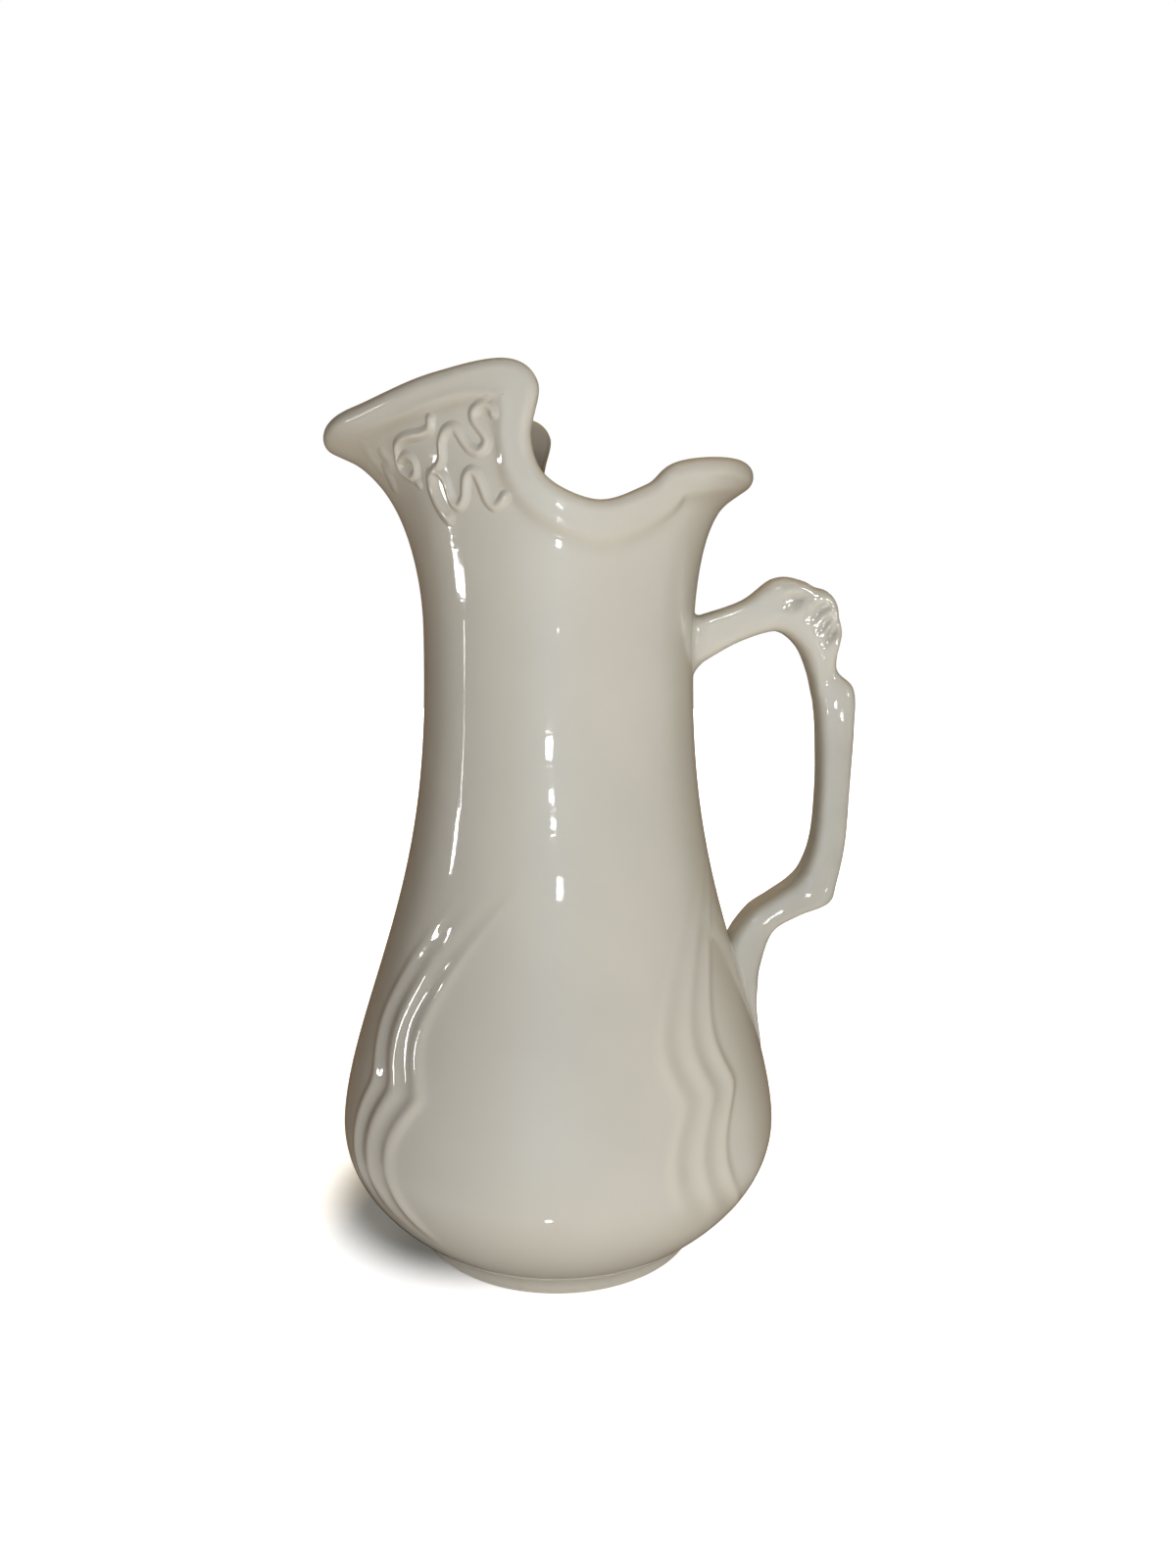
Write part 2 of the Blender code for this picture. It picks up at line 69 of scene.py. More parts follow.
class Slot(Enum):
    """The record's material slots."""

    GLAZE = "glaze"
    FOOT = "foot"
    LUTE = "lute"
    RELIEF = "relief"


class Side(Enum):
    """The two flanks of the spout, by the sign of their azimuth."""

    NEAR = -1
    FAR = 1


class Use(Enum):
    """What a lamp is for: to light the clay, or to show in its gloss."""

    LIGHT = "light"
    GLOSS = "gloss"


def mix(a: Array | float, b: Array | float, t: Array | float) -> Array | float:
    """A share t of the way from a to b."""
    return a + (b - a) * t


def ease(t: Array | float) -> Array:
    """Smooth step: 0 below 0, 1 above 1, level at both ends."""
    t = np.clip(t, 0.0, 1.0)
    return t * t * (3 - 2 * t)


def bell(x: Array, width: float) -> Array:
    """Bell curve of height 1, exp(-(x / width) squared)."""
    return np.exp(-((x / width) ** 2))


def hump(x: Array) -> Array:
    """Raised cosine of height 1, from -1 to 1."""
    return (1 + np.cos(np.pi * np.clip(x, -1, 1))) / 2


def centred(angle: Array, turn: float = 2 * math.pi) -> Array:
    """The angle brought to within half a turn of zero."""
    return np.remainder(angle + turn / 2, turn) - turn / 2


def smooth_curve(points: Array, counts: Sequence[int]) -> Array:
    """Catmull-Rom curve from the second point to the last but one; the end points only aim it.

    Args:
        points: Rows of coordinates, two more than there are ends of spans.
        counts: How many samples each span gets.

    Returns:
        One row for each sample, and the last point.
    """
    number = np.repeat(np.arange(len(counts)), counts)
    t = np.concatenate([np.arange(count) / count for count in counts])[:, None]
    p, q, r, s = (points[number + k] for k in range(4))
    curve = 0.5 * (2 * q + t * (r - p + t * (2 * p - 5 * q + 4 * r - s + t * (3 * q - p - 3 * r + s))))
    return np.vstack([curve, points[-2]])


def open_curve(points: Array, per_span: int | Sequence[int]) -> Array:
    """Catmull-Rom curve through all the points, aimed past its ends along its first and last chord."""
    counts = [per_span] * (len(points) - 1) if isinstance(per_span, int) else per_span
    return smooth_curve(np.vstack([2 * points[0] - points[1], points, 2 * points[-1] - points[-2]]), counts)


def distance_to_line(places: Array, line: Array) -> tuple[Array, Array]:
    """Distance from each place to the nearest stretch of a polyline, and where on it that is.

    Args:
        places: Points, as rows of x, y and z.
        line: Points of the polyline.

    Returns:
        Distances, and the number of the nearest stretch with the share of it passed.
    """
    start, run = line[:-1], np.diff(line, axis=0)
    length = np.maximum((run**2).sum(1), TINY)
    found, along = [], []
    for part in np.array_split(places, max(1, len(places) // PLACES_AT_ONCE)):
        off = part[:, None, :] - start
        t = np.clip((off * run).sum(2) / length, 0, 1)
        gap = ((off - t[..., None] * run) ** 2).sum(2)
        best = gap.argmin(1)
        rows = np.arange(len(part))
        found.append(np.sqrt(gap[rows, best]))
        along.append(best + t[rows, best])
    return np.concatenate(found), np.concatenate(along)


def grid_faces(rows: int, columns: int, wrap_columns: bool = True, wrap_rows: bool = False) -> Array:
    """Quads of a grid of points numbered row by row.

    Args:
        rows: Number of rows.
        columns: Points in a row.
        wrap_columns: Whether the last column joins the first.
        wrap_rows: Whether the last row joins the first.

    Returns:
        Four point numbers for each quad, turning to the left from a row to the next.
    """
    k = np.arange(columns if wrap_columns else columns - 1)
    i = np.arange(rows if wrap_rows else rows - 1)[:, None]
    right, up = (k + 1) % columns, (i + 1) % rows
    corners = [i * columns + k, i * columns + right, up * columns + right, up * columns + k]
    return np.stack(corners, -1).reshape(-1, 4)


def end_fans(count: int, top: int, first: int) -> Array:
    """Triangles that close the first and the last row of a grid about a middle point each.

    Args:
        count: Points in a row.
        top: Number of the last row's first point.
        first: Number of the first row's middle; the last row's middle comes next.

    Returns:
        Three point numbers for each triangle.
    """
    k, right = np.arange(count), (np.arange(count) + 1) % count
    below = np.stack([right, k, np.full(count, first)], -1)
    above = np.stack([top + k, top + right, np.full(count, first + 1)], -1)
    return np.vstack([below, above])


def noise(tree: Tree, place: Socket, waves: float, detail: float) -> Socket:
    """Fractal noise over a surface.

    Args:
        tree: The material's nodes.
        place: Where it is read.
        waves: Waves to the metre.
        detail: How many finer octaves it has.

    Returns:
        A value from 0 to 1.
    """
    node = tree.nodes.new("ShaderNodeTexNoise")
    node.inputs["Scale"].default_value = waves
    node.inputs["Detail"].default_value = detail
    tree.links.new(place, node.inputs["Vector"])
    return node.outputs["Fac"]


def stored(tree: Tree, name: str) -> Socket:
    """A value stored on a mesh's points.

    Args:
        tree: The material's nodes.
        name: Name of the value.

    Returns:
        The value.
    """
    node = tree.nodes.new("ShaderNodeAttribute")
    node.attribute_name = name
    return node.outputs["Fac"]


def times(tree: Tree, first: Socket, second: Socket | float) -> Socket:
    """The product of two values, held between 0 and 1.

    Args:
        tree: The material's nodes.
        first: One value.
        second: The other value, or a number.

    Returns:
        The product.
    """
    node = tree.nodes.new("ShaderNodeMath")
    node.operation = "MULTIPLY"
    node.use_clamp = True
    tree.links.new(first, node.inputs[0])
    if isinstance(second, float):
        node.inputs[1].default_value = second
    else:
        tree.links.new(second, node.inputs[1])
    return node.outputs[0]


def span(tree: Tree, value: Socket, low: float, high: float, start: float = 0.0, end: float = 1.0) -> Socket:
    """A value's range from low to high stretched to start and end, and held there.

    Args:
        tree: The material's nodes.
        value: The value.
        low: Where its range begins.
        high: Where its range ends.
        start: What low becomes.
        end: What high becomes.

    Returns:
        The stretched value.
    """
    node = tree.nodes.new("ShaderNodeMapRange")
    tree.links.new(value, node.inputs["Value"])
    for name, number in (("From Min", low), ("From Max", high), ("To Min", start), ("To Max", end)):
        node.inputs[name].default_value = number
    return node.outputs["Result"]


def blend(tree: Tree, share: Socket, first: Socket | Colour, second: Colour) -> Socket:
    """The first colour turned into the second by a share.

    Args:
        tree: The material's nodes.
        share: The share, from 0 to 1.
        first: The colour where the share is 0.
        second: The colour where the share is 1.

    Returns:
        The colour between them.
    """
    node = tree.nodes.new("ShaderNodeMix")
    node.data_type = "RGBA"
    tree.links.new(share, node.inputs["Factor"])
    a, b = [socket for socket in node.inputs if socket.type == "RGBA"]
    if isinstance(first, Socket):
        tree.links.new(first, a)
    else:
        a.default_value = (*first, 1.0)
    b.default_value = (*second, 1.0)
    return [socket for socket in node.outputs if socket.type == "RGBA"][0]


def bump(tree: Tree, height: Socket, strength: float, depth: float, under: Socket | None = None) -> Socket:
    """A bump laid over the one under it.

    Args:
        tree: The material's nodes.
        height: Its height from 0 to 1.
        strength: How strongly it shows.
        depth: Its depth in metres.
        under: The bump under it.

    Returns:
        The bumped normal.
    """
    node = tree.nodes.new("ShaderNodeBump")
    node.inputs["Strength"].default_value = strength
    node.inputs["Distance"].default_value = depth
    tree.links.new(height, node.inputs["Height"])
    if under is not None:
        tree.links.new(under, node.inputs["Normal"])
    return node.outputs["Normal"]


@dataclass(frozen=True)
class Glaze:
    """A glossy white glaze over pale clay, darkened by pooled glaze and painted shade in hollows, lighter by
    thin glaze and a painted highlight on crests, and darker by painted shade inside the jug.

    Waves are given to the metre, with their finer octaves. A grain is where noise begins and ends to tell,
    and the share of a value that is left where the noise is lowest.
    """

    colour: Colour = (0.65, 0.630, 0.572)
    cloud: Colour = (0.62, 0.598, 0.550)
    # Pooled glaze with painted shade in hollows, and thin glaze with a painted highlight on crests.
    pooled_and_shaded: Colour = (0.43, 0.380, 0.300)
    thin_and_highlight: Colour = (0.70, 0.660, 0.590)
    clay: Colour = (0.50, 0.430, 0.345)
    # Painted shade inside the jug.
    inside_shade: Colour = (0.54, 0.475, 0.365)
    # Shares of the pooled glaze with painted shade and of the thin glaze with painted highlight.
    pooling_and_shade: float = 0.55
    thinness_and_highlight: float = 0.75
    refraction: float = 1.52
    roughness: tuple[float, float] = (0.03, 0.06)
    clay_roughness: float = 0.75
    cloud_waves: tuple[float, float] = (38.0, 3.0)
    cloud_reach: tuple[float, float] = (0.38, 0.66)
    streak_waves: tuple[float, float] = (170.0, 4.0)
    gloss_waves: tuple[float, float] = (85.0, 5.0)
    gloss_reach: tuple[float, float] = (0.3, 0.7)
    # Grains of the pooled glaze with painted shade, the painted shade inside the jug, and the bare clay.
    pooling_and_shade_grain: tuple[float, ...] = (0.20, 0.75, 0.6)
    inside_shade_grain: tuple[float, ...] = (0.30, 0.70, 0.8)
    bare_grain: tuple[float, ...] = (0.30, 0.45, 0.55)
    ripple: float = 0.10
    ripple_waves: tuple[float, float] = (55.0, 1.0)
    ripple_depth: float = 0.0012
    peel: float = 0.05
    peel_waves: tuple[float, float] = (520.0, 2.0)
    peel_depth: float = 0.0002
    speck_cells: float = 95.0
    speck_edge: tuple[float, float] = (0.020, 0.034)
    speck_rarity: tuple[float, float] = (0.90, 0.97)
    speck_share: float = 0.55
    pit: float = 0.3
    pit_depth: float = -0.0001

    def material(self, name: str) -> bpy.types.Material:
        """The finish as a node material that reads the values stored on a mesh's points.

        Args:
            name: Name of the material.

        Returns:
            The material.
        """
        material = bpy.data.materials.new(name)
        material.use_nodes = True
        tree = material.node_tree
        shader = tree.nodes["Principled BSDF"]
        shader.inputs["IOR"].default_value = self.refraction
        place = tree.nodes.new("ShaderNodeTexCoord").outputs["Object"]
        clouds = noise(tree, place, *self.cloud_waves)
        streaks = noise(tree, place, *self.streak_waves)
        specks = self.specks(tree, place)

        colour = blend(tree, span(tree, clouds, *self.cloud_reach), self.colour, self.cloud)
        # Pooled glaze and painted shade: darker in the hollows that the mesh marks.
        pooling_and_shade = self.patchy(tree, "pooling_and_shade", streaks, self.pooling_and_shade_grain)
        colour = blend(tree, times(tree, pooling_and_shade, self.pooling_and_shade), colour, self.pooled_and_shaded)
        # Painted shade: darker and warmer inside the jug.
        inside_shaded = self.patchy(tree, "inside_shaded", clouds, self.inside_shade_grain)
        colour = blend(tree, inside_shaded, colour, self.inside_shade)
        # Thin glaze and a painted highlight: lighter on the crests that the mesh marks.
        colour = blend(tree, times(tree, stored(tree, "thin_and_highlight"), self.thinness_and_highlight), colour, self.thin_and_highlight)
        colour = blend(tree, specks, colour, self.clay)
        bare = self.patchy(tree, "bare", streaks, self.bare_grain)
        colour = blend(tree, bare, colour, self.clay)
        tree.links.new(colour, shader.inputs["Base Color"])

        gloss = noise(tree, place, *self.gloss_waves)
        gloss = span(tree, gloss, *self.gloss_reach, *self.roughness)
        rough = tree.nodes.new("ShaderNodeMix")
        tree.links.new(bare, rough.inputs["Factor"])
        tree.links.new(gloss, rough.inputs["A"])
        rough.inputs["B"].default_value = self.clay_roughness
        tree.links.new(rough.outputs["Result"], shader.inputs["Roughness"])

        swell = bump(tree, noise(tree, place, *self.ripple_waves), self.ripple, self.ripple_depth)
        peel = bump(tree, noise(tree, place, *self.peel_waves), self.peel, self.peel_depth, swell)
        tree.links.new(bump(tree, specks, self.pit, self.pit_depth, peel), shader.inputs["Normal"])
        return material

    @staticmethod
    def patchy(tree: Tree, name: str, noises: Socket, grain: tuple[float, ...]) -> Socket:
        """A value stored on the points times a share of the noise, as the grain gives it."""
        return times(tree, stored(tree, name), span(tree, noises, *grain, 1.0))

    def specks(self, tree: Tree, place: Socket) -> Socket:
        """A few pin-sized specks: the middles of large cells, in the rare cells that have one.

        Args:
            tree: The material's nodes.
            place: Where they are read.

        Returns:
            The strength of the speck, 0 beside it.
        """
        node = tree.nodes.new("ShaderNodeTexVoronoi")
        node.inputs["Scale"].default_value = self.speck_cells
        tree.links.new(place, node.inputs["Vector"])
        near = span(tree, node.outputs["Distance"], *self.speck_edge, 1.0, 0.0)
        split = tree.nodes.new("ShaderNodeSeparateColor")
        tree.links.new(node.outputs["Color"], split.inputs["Color"])
        rare = span(tree, split.outputs["Red"], *self.speck_rarity, 0.0, self.speck_share)
        return times(tree, near, rare)


@dataclass
class Clay:
    """A closed mesh in the making: its points, its faces and the values that its finish reads."""

    name: str
    points: Array
    faces: list[Array]
    # Per point: pooled glaze with painted shade in hollows, thin glaze with a painted highlight on crests,
    # bare clay, and painted shade inside the jug.
    pooling_and_shade: Array | float = 0.0
    thin_and_highlight: Array | float = 0.0
    bare: Array | float = 0.0
    inside_shaded: Array | float = 0.0

    def fire(self, material: bpy.types.Material, slot: Slot, *nodes: str) -> bpy.types.Object:
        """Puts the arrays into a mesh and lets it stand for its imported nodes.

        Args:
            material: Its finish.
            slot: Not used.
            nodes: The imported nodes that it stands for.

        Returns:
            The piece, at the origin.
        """
        mesh = bpy.data.meshes.new(self.name)
        mesh.from_pydata(self.points.tolist(), [], [face for block in self.faces for face in block.tolist()])
        for name in ("pooling_and_shade", "thin_and_highlight", "bare", "inside_shaded"):
            values = np.broadcast_to(np.clip(getattr(self, name), 0, 1), len(self.points))
            layer = mesh.attributes.new(name, "FLOAT", "POINT")
            layer.data.foreach_set("value", np.ascontiguousarray(values, dtype=np.float32))
        mesh.shade_smooth()
        mesh.materials.append(material)
        piece = bpy.data.objects.new(self.name, mesh)
        bpy.context.scene.collection.objects.link(piece)
        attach(piece, "root")
        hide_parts(*nodes)
        return piece


@dataclass(frozen=True)
class Wall:
    """Outside of the jug without its flutes and border: a turned belly and neck, then an eared flare."""

    axis_x: float
    seat_height: float = 0.0030
    seat_radius: float = 0.0280
    belly_height: float = 0.0245
    belly_radius: float = 0.0425
    neck_height: float = 0.1190
    neck_radius: float = 0.0255
    lip_height: float = 0.1467
    lip_reach: float = 0.0361
    saddle_height: float = 0.1408
    ear_height: float = 0.1626
    ear_reach: float = 0.0305
    spout_height: float = 0.1530
    spout_reach: float = 0.0435
    spout_shoulder: float = 0.0050
    spout_nose: float = math.radians(20)
    thickness: float = 0.0034
    belly_power: float = 2.1
    taper_start: float = 0.8
    taper_power: float = 1.35
    trumpet_powers: tuple[int, int] = (7, 2)
    trumpet_shares: tuple[float, float] = (0.46, 0.57)
    trumpet_onset: float = 1.5

    def turned_radius(self, z: Array) -> Array:
        """Radius by height: a power curve from the seat to the belly, then a cosine taper to the neck.

        Args:
            z: Heights up to the neck.

        Returns:
            The radius at each.
        """
        low = np.clip((z - self.seat_height) / (self.belly_height - self.seat_height), 0, 1)
        high = np.clip((z - self.belly_height) / (self.neck_height - self.belly_height), 0, 1)
        belly = mix(self.seat_radius, self.belly_radius, 1 - (1 - low) ** self.belly_power)
        fall = ((1 + np.cos(np.pi * high**self.taper_start)) / 2) ** self.taper_power
        return np.where(z < self.belly_height, belly, mix(self.neck_radius, self.belly_radius, fall))

    def flared_radius(self, azimuth: Array, z: Array) -> Array:
        """Radius above the neck: it grows to the reach of the lip, the ears and the spout's nose.

        Across the jug it grows as a smooth step of the height, and along it as a trumpet, which is a
        mix of two powers of the height.

        Args:
            azimuth: Azimuths.
            z: Heights above the neck.

        Returns:
            The radius at each.
        """
        forward = np.cos(azimuth)
        lip, spout = ease(forward), np.maximum(-forward, 0) ** 2
        nose = bell(np.pi - np.abs(centred(azimuth)), self.spout_nose)
        reach = self.ear_reach + (self.lip_reach - self.ear_reach) * lip + self.spout_shoulder * spout
        reach = reach + (self.spout_reach - self.ear_reach - self.spout_shoulder) * nose
        height = self.ear_height + (self.lip_height - self.ear_height) * lip
        height = height + (self.spout_height - self.ear_height) * spout
        t = np.maximum(z - self.neck_height, 0) / (height - self.neck_height)
        steep, early = (t**power for power in self.trumpet_powers)
        trumpet = mix(steep, early, np.where(forward > 0, *self.trumpet_shares))
        return mix(self.neck_radius, reach, mix(ease(t), trumpet, np.abs(forward) ** self.trumpet_onset))

    def point(self, azimuth: Array, z: Array, rise: Array | float = 0.0) -> Array:
        """Places on the surface, moved out along its normal.

        Args:
            azimuth: Azimuths.
            z: Heights.
            rise: Distances out of the surface.

        Returns:
            x, y and z for each.
        """
        found = self.plain(azimuth, z)
        if np.any(rise):
            found = found + self.normal(azimuth, z) * np.asarray(rise)[..., None]
        return found

    def plain(self, azimuth: Array, z: Array) -> Array:
        """Places on the plain surface: a radius by azimuth and height, about the jug's axis.

        Args:
            azimuth: Azimuths.
            z: Heights.

        Returns:
            x, y and z for each.
        """
        radius = np.where(z < self.neck_height, self.turned_radius(z), self.flared_radius(azimuth, z))
        along, across = radius * np.cos(azimuth), radius * np.sin(azimuth)
        return np.stack([self.axis_x + along, across, z + 0 * azimuth], -1)

    def normal(self, azimuth: Array, z: Array) -> Array:
        """Outward unit normals of the plain surface: the cross product of its slopes round and up.

        Args:
            azimuth: Azimuths.
            z: Heights.

        Returns:
            The normal at each.
        """
        small = 1e-4
        along = self.plain(azimuth + small, z) - self.plain(azimuth - small, z)
        up = self.plain(azimuth, z + small) - self.plain(azimuth, z - small)
        cross = np.cross(along, up)
        return cross / np.linalg.norm(cross, axis=-1, keepdims=True)

    def beside_handle(self, y: Array, z: Array, lift: Array | float = 0.0) -> Array:
        """Places at the handle by y and z: x is the root of radius squared less y squared, moved out."""
        x = np.sqrt((self.plain(0 * z, z)[..., 0] - self.axis_x) ** 2 - y**2)
        return np.stack([self.axis_x + x + lift, y + 0 * x, z + 0 * x], -1)


@dataclass(frozen=True)
class Flutes:
    """Bundles of swirled ridges on the belly that swing back and forth about a rounded cusp."""

    bundles: int = 4
    ridges: int = 3
    pitch: float = math.radians(9.7)
    rise: float = 0.00060
    edge: float = 0.6
    start: float = math.radians(-46.8)
    uneven: float = math.radians(2.0)
    cusp_height: float = 0.0397
    cusp_round: float = 0.0017
    cusp_shares: tuple[float, ...] = (0.12, 0.23, 0.30, 0.23, 0.12)
    upper_lobe: float = 0.0178
    upper_bulge: float = math.radians(4.6)
    lower_lobe: float = 0.0222
    lower_bulge: float = math.radians(8.3)
    gather: float = 0.3
    tail_rise: float = 0.0320
    tail_curl: float = math.radians(27)
    tail_stagger: float = 0.0050
    tail_power: float = 1.8
    toe_drop: float = 0.0030
    toe_curl: float = math.radians(0.5)
    leading_toe: tuple[float, float] = (0.0120, 0.0205)
    trailing_toe: tuple[float, float] = (0.0160, 0.0285)

    @property
    def top(self) -> float:
        """Height at which the longest ridge has run out."""
        return self.cusp_height + self.upper_lobe + self.tail_rise

    def lower_swell(self, z: Array) -> Array:
        """Turn of the lower lobe by height: half a sine from the cusp down to the lobe's foot."""
        return self.lower_bulge * np.sin(np.pi * np.clip((self.cusp_height - z) / self.lower_lobe, 0, 1))

    def cusped(self, z: Array) -> Array:
        """Turn of the ridges by height: two sine lobes that meet at the cusp, with a curled tail and toe.

        Args:
            z: Heights.

        Returns:
            The azimuth that the ridges have turned by at each.
        """
        cusp_top, cusp_foot = self.cusp_height + self.upper_lobe, self.cusp_height - self.lower_lobe
        z = np.clip(z, cusp_foot - self.toe_drop, self.top)
        over, under = np.maximum(z - cusp_top, 0), np.maximum(cusp_foot - z, 0)
        upper = -self.upper_bulge * np.sin(np.pi * np.clip((z - self.cusp_height) / self.upper_lobe, 0, 1))
        upper += np.pi * self.upper_bulge / self.upper_lobe * over
        upper += self.tail_curl * (over / self.tail_rise) ** 2
        lower = -self.lower_swell(z)
        lower += np.pi * self.lower_bulge / self.lower_lobe * under
        lower += self.toe_curl * (under / self.toe_drop) ** 2
        return np.where(z > self.cusp_height, upper, lower)

    def swirl(self, z: Array) -> Array:
        """The cusped turn averaged over a short height, which rounds the cusp."""
        steps = np.linspace(-self.cusp_round, self.cusp_round, len(self.cusp_shares))
        return sum(share * self.cusped(z + step) for step, share in zip(steps, self.cusp_shares))

    def wave(self, azimuth: Array, z: Array) -> tuple[Array, Array]:
        """Height of the ridges from 0 to 1, and how strongly the bundle shows there.

        Across a bundle the ridges are a raised cosine, gathered towards the leading one in the lower
        lobe, and a smooth step lets the outer flanks run out; the leading ridge runs furthest up and down.
        Every other bundle is shifted a little, as the squared sine of the azimuth.

        Args:
            azimuth: Azimuths.
            z: Heights.

        Returns:
            The wave, and the strength that it is multiplied with.
        """
        lobe = self.gather * self.lower_swell(z)
        shift = self.uneven * np.sin(azimuth - self.start) ** 2
        off = centred(azimuth - self.start - self.swirl(z) - shift, 2 * math.pi / self.bundles)
        off = (off - lobe / 2) / (1 - lobe / (2 * self.pitch))
        inside = np.abs(off) <= self.ridges * self.pitch / 2
        wave = np.where(inside, (1 - np.cos(2 * np.pi * (off / self.pitch + self.ridges / 2))) / 2, 0)
        lead = np.clip((off / self.pitch + 1) / 2, 0, 1)
        top = self.top - self.tail_stagger * (1 - lead)
        toe, heel = (mix(a, b, lead) for a, b in zip(self.trailing_toe, self.leading_toe))
        fade_in = ease((z - toe) / (heel - toe))
        fade_out = ease((top - z) / (top - self.cusp_height)) ** self.tail_power
        flank = ease((self.ridges / 2 - np.abs(off / self.pitch)) / self.edge)
        return wave, fade_in * fade_out * flank


@dataclass(frozen=True)
class Rim:
    """The eared rim as azimuth and height, and the border band that follows it."""

    wall: Wall
    ear_band: float = 0.0048
    saddle_band: float = 0.0064
    rise: float = 0.0006
    crest: float = 0.00014
    groove: float = 0.00006
    softness: tuple[float, float] = (0.0017, 0.0028)
    end_softness: float = 0.0065
    end_fade: float = math.radians(24)
    corner: float = 0.0026
    evening: float = 0.00392
    rounding: float = 0.0017
    crest_at: tuple[float, float] = (-0.55, 0.4)
    groove_at: tuple[float, float] = (0.4, 0.5)
    # Where pooled glaze and painted shade darken the band's step.
    pool_and_shade_at: tuple[float, float] = (0.3, 0.5)
    saddle_blur: float = 0.5
    counts: tuple[int, ...] = (20, 14, 16, 16, 16, 16, 16, 30, 38, 18)
    ear_span: int = 7

    def outline(self) -> Array:
        """A smooth curve from the lip past one ear to the spout, and its mirror image back to the lip.

        Returns:
            Azimuth and height round the rim.
        """
        wall = self.wall
        ear, lip = wall.ear_height - wall.saddle_height, wall.lip_height - wall.saddle_height
        spout = wall.ear_height - wall.spout_height
        half = np.array(
            [
                (0, wall.lip_height),
                (45, wall.saddle_height + 1.08 * lip),
                (58, wall.saddle_height + 0.43 * lip),
                (75, wall.saddle_height),
                (92.5, wall.saddle_height + 0.16 * ear),
                (97.7, wall.saddle_height + 0.44 * ear),
                (95, wall.saddle_height + 0.82 * ear),
                (104.5, wall.ear_height),
                (128, wall.ear_height - 0.20 * spout),
                (158, wall.ear_height - 0.69 * spout),
                (180, wall.spout_height),
            ]
        )
        half[:, 0] = np.radians(half[:, 0])
        flip = np.array([-1, 1])
        ends = half[1] * flip, half[-2] * flip + [2 * np.pi, 0]
        near = smooth_curve(np.vstack([ends[0], half, ends[1]]), self.counts)
        return np.vstack([near, near[-2:0:-1] * flip + [2 * np.pi, 0]])

    def inward(self, outline: Array) -> Array:
        """Unit directions into the wall on the surface laid flat, evened out along the rim by a bell.

        Args:
            outline: Azimuth and height round the rim.

        Returns:
            The direction at each place of the outline.
        """
        before, after = np.roll(outline, 1, 0), np.roll(outline, -1, 0)
        around = centred(after[:, 0] - before[:, 0]) * self.wall.ear_reach
        along = np.stack([around, after[:, 1] - before[:, 1]], -1)
        step = np.linalg.norm(along, axis=1) / 2
        run = np.cumsum(step)
        gap = centred(run[:, None] - run[None, :], run[-1])
        way = np.stack([along[:, 1], -along[:, 0]], -1) / (2 * step[:, None])
        way = (bell(gap, self.evening) * step) @ way
        return way / np.linalg.norm(way, axis=1, keepdims=True)

    def inset(self, outline: Array, distance: Array | float) -> Array:
        """The outline moved down the wall, with the distance measured on the flared surface.

        Args:
            outline: Azimuth and height round the rim.
            distance: How far, for each place or for all.

        Returns:
            Azimuth and height round the moved outline.
        """
        flat = outline + self.inward(outline) * np.asarray(distance).reshape(-1, 1) / [self.wall.ear_reach, 1]
        moved = np.linalg.norm(self.wall.plain(*flat.T) - self.wall.plain(*outline.T), axis=1)
        return outline + (flat - outline) * (distance / moved)[:, None]

    def widths(self, height: Array) -> Array:
        """Width of the band: it grows with the square of the rim's depth below the ears."""
        low = (self.wall.ear_height - height) / (self.wall.ear_height - self.wall.saddle_height)
        return mix(self.ear_band, self.saddle_band, low**2)

    def band(self, places: Array) -> tuple[Array, Array]:
        """Rise of the border band at places on the wall, by their distance from the rim.

        It is level from the rim, swells at its inner edge, and drops by a smooth step into a shallow
        groove. The distances from the spout's rim and from the rest of the rim are joined by a soft
        minimum, which rounds the band's corner under the ear. At the nose and the lip it melts away.

        Args:
            places: Points on the plain wall.

        Returns:
            The rise, and from 0 to 1 how much pooled glaze and painted shade darken the band's step.
        """
        ring, ear = self.outline(), sum(self.counts[: self.ear_span])
        front = ring[ear : len(ring) - ear + 1]
        back = np.vstack([ring[len(ring) - ear :] - [2 * np.pi, 0], ring[: ear + 1]])
        gaps, widths = [], []
        for line in (front, back):
            distance, along = distance_to_line(places, self.wall.plain(*line.T))
            widths.append(np.interp(along, np.arange(len(line)), self.widths(line[:, 1])))
            gaps.append(distance - widths[-1])
        inside = -self.corner * np.log(np.exp(-np.array(gaps) / self.corner).sum(0))
        width = np.where(gaps[0] < gaps[1], widths[0], widths[1])
        share = (width - self.ear_band) / (self.saddle_band - self.ear_band)
        turn = np.abs(np.arctan2(places[:, 1], places[:, 0] - self.wall.axis_x))
        end = bell(np.pi - turn, self.end_fade) + bell(turn, self.end_fade)
        inside = inside / mix(mix(*self.softness, share), self.end_softness, end)
        crisp = (1 - self.saddle_blur * share) * (1 - end)
        spots = self.crest_at, self.groove_at, self.pool_and_shade_at
        # Pooled glaze and painted shade darken the band's step and groove.
        crest, groove, pool_and_shade = (bell(inside - place, width) for place, width in spots)
        rise = self.rise * (1 - ease(inside + 0.5)) + crisp * self.crest * crest
        rise = rise - crisp * self.groove * groove
        return rise, crisp * pool_and_shade


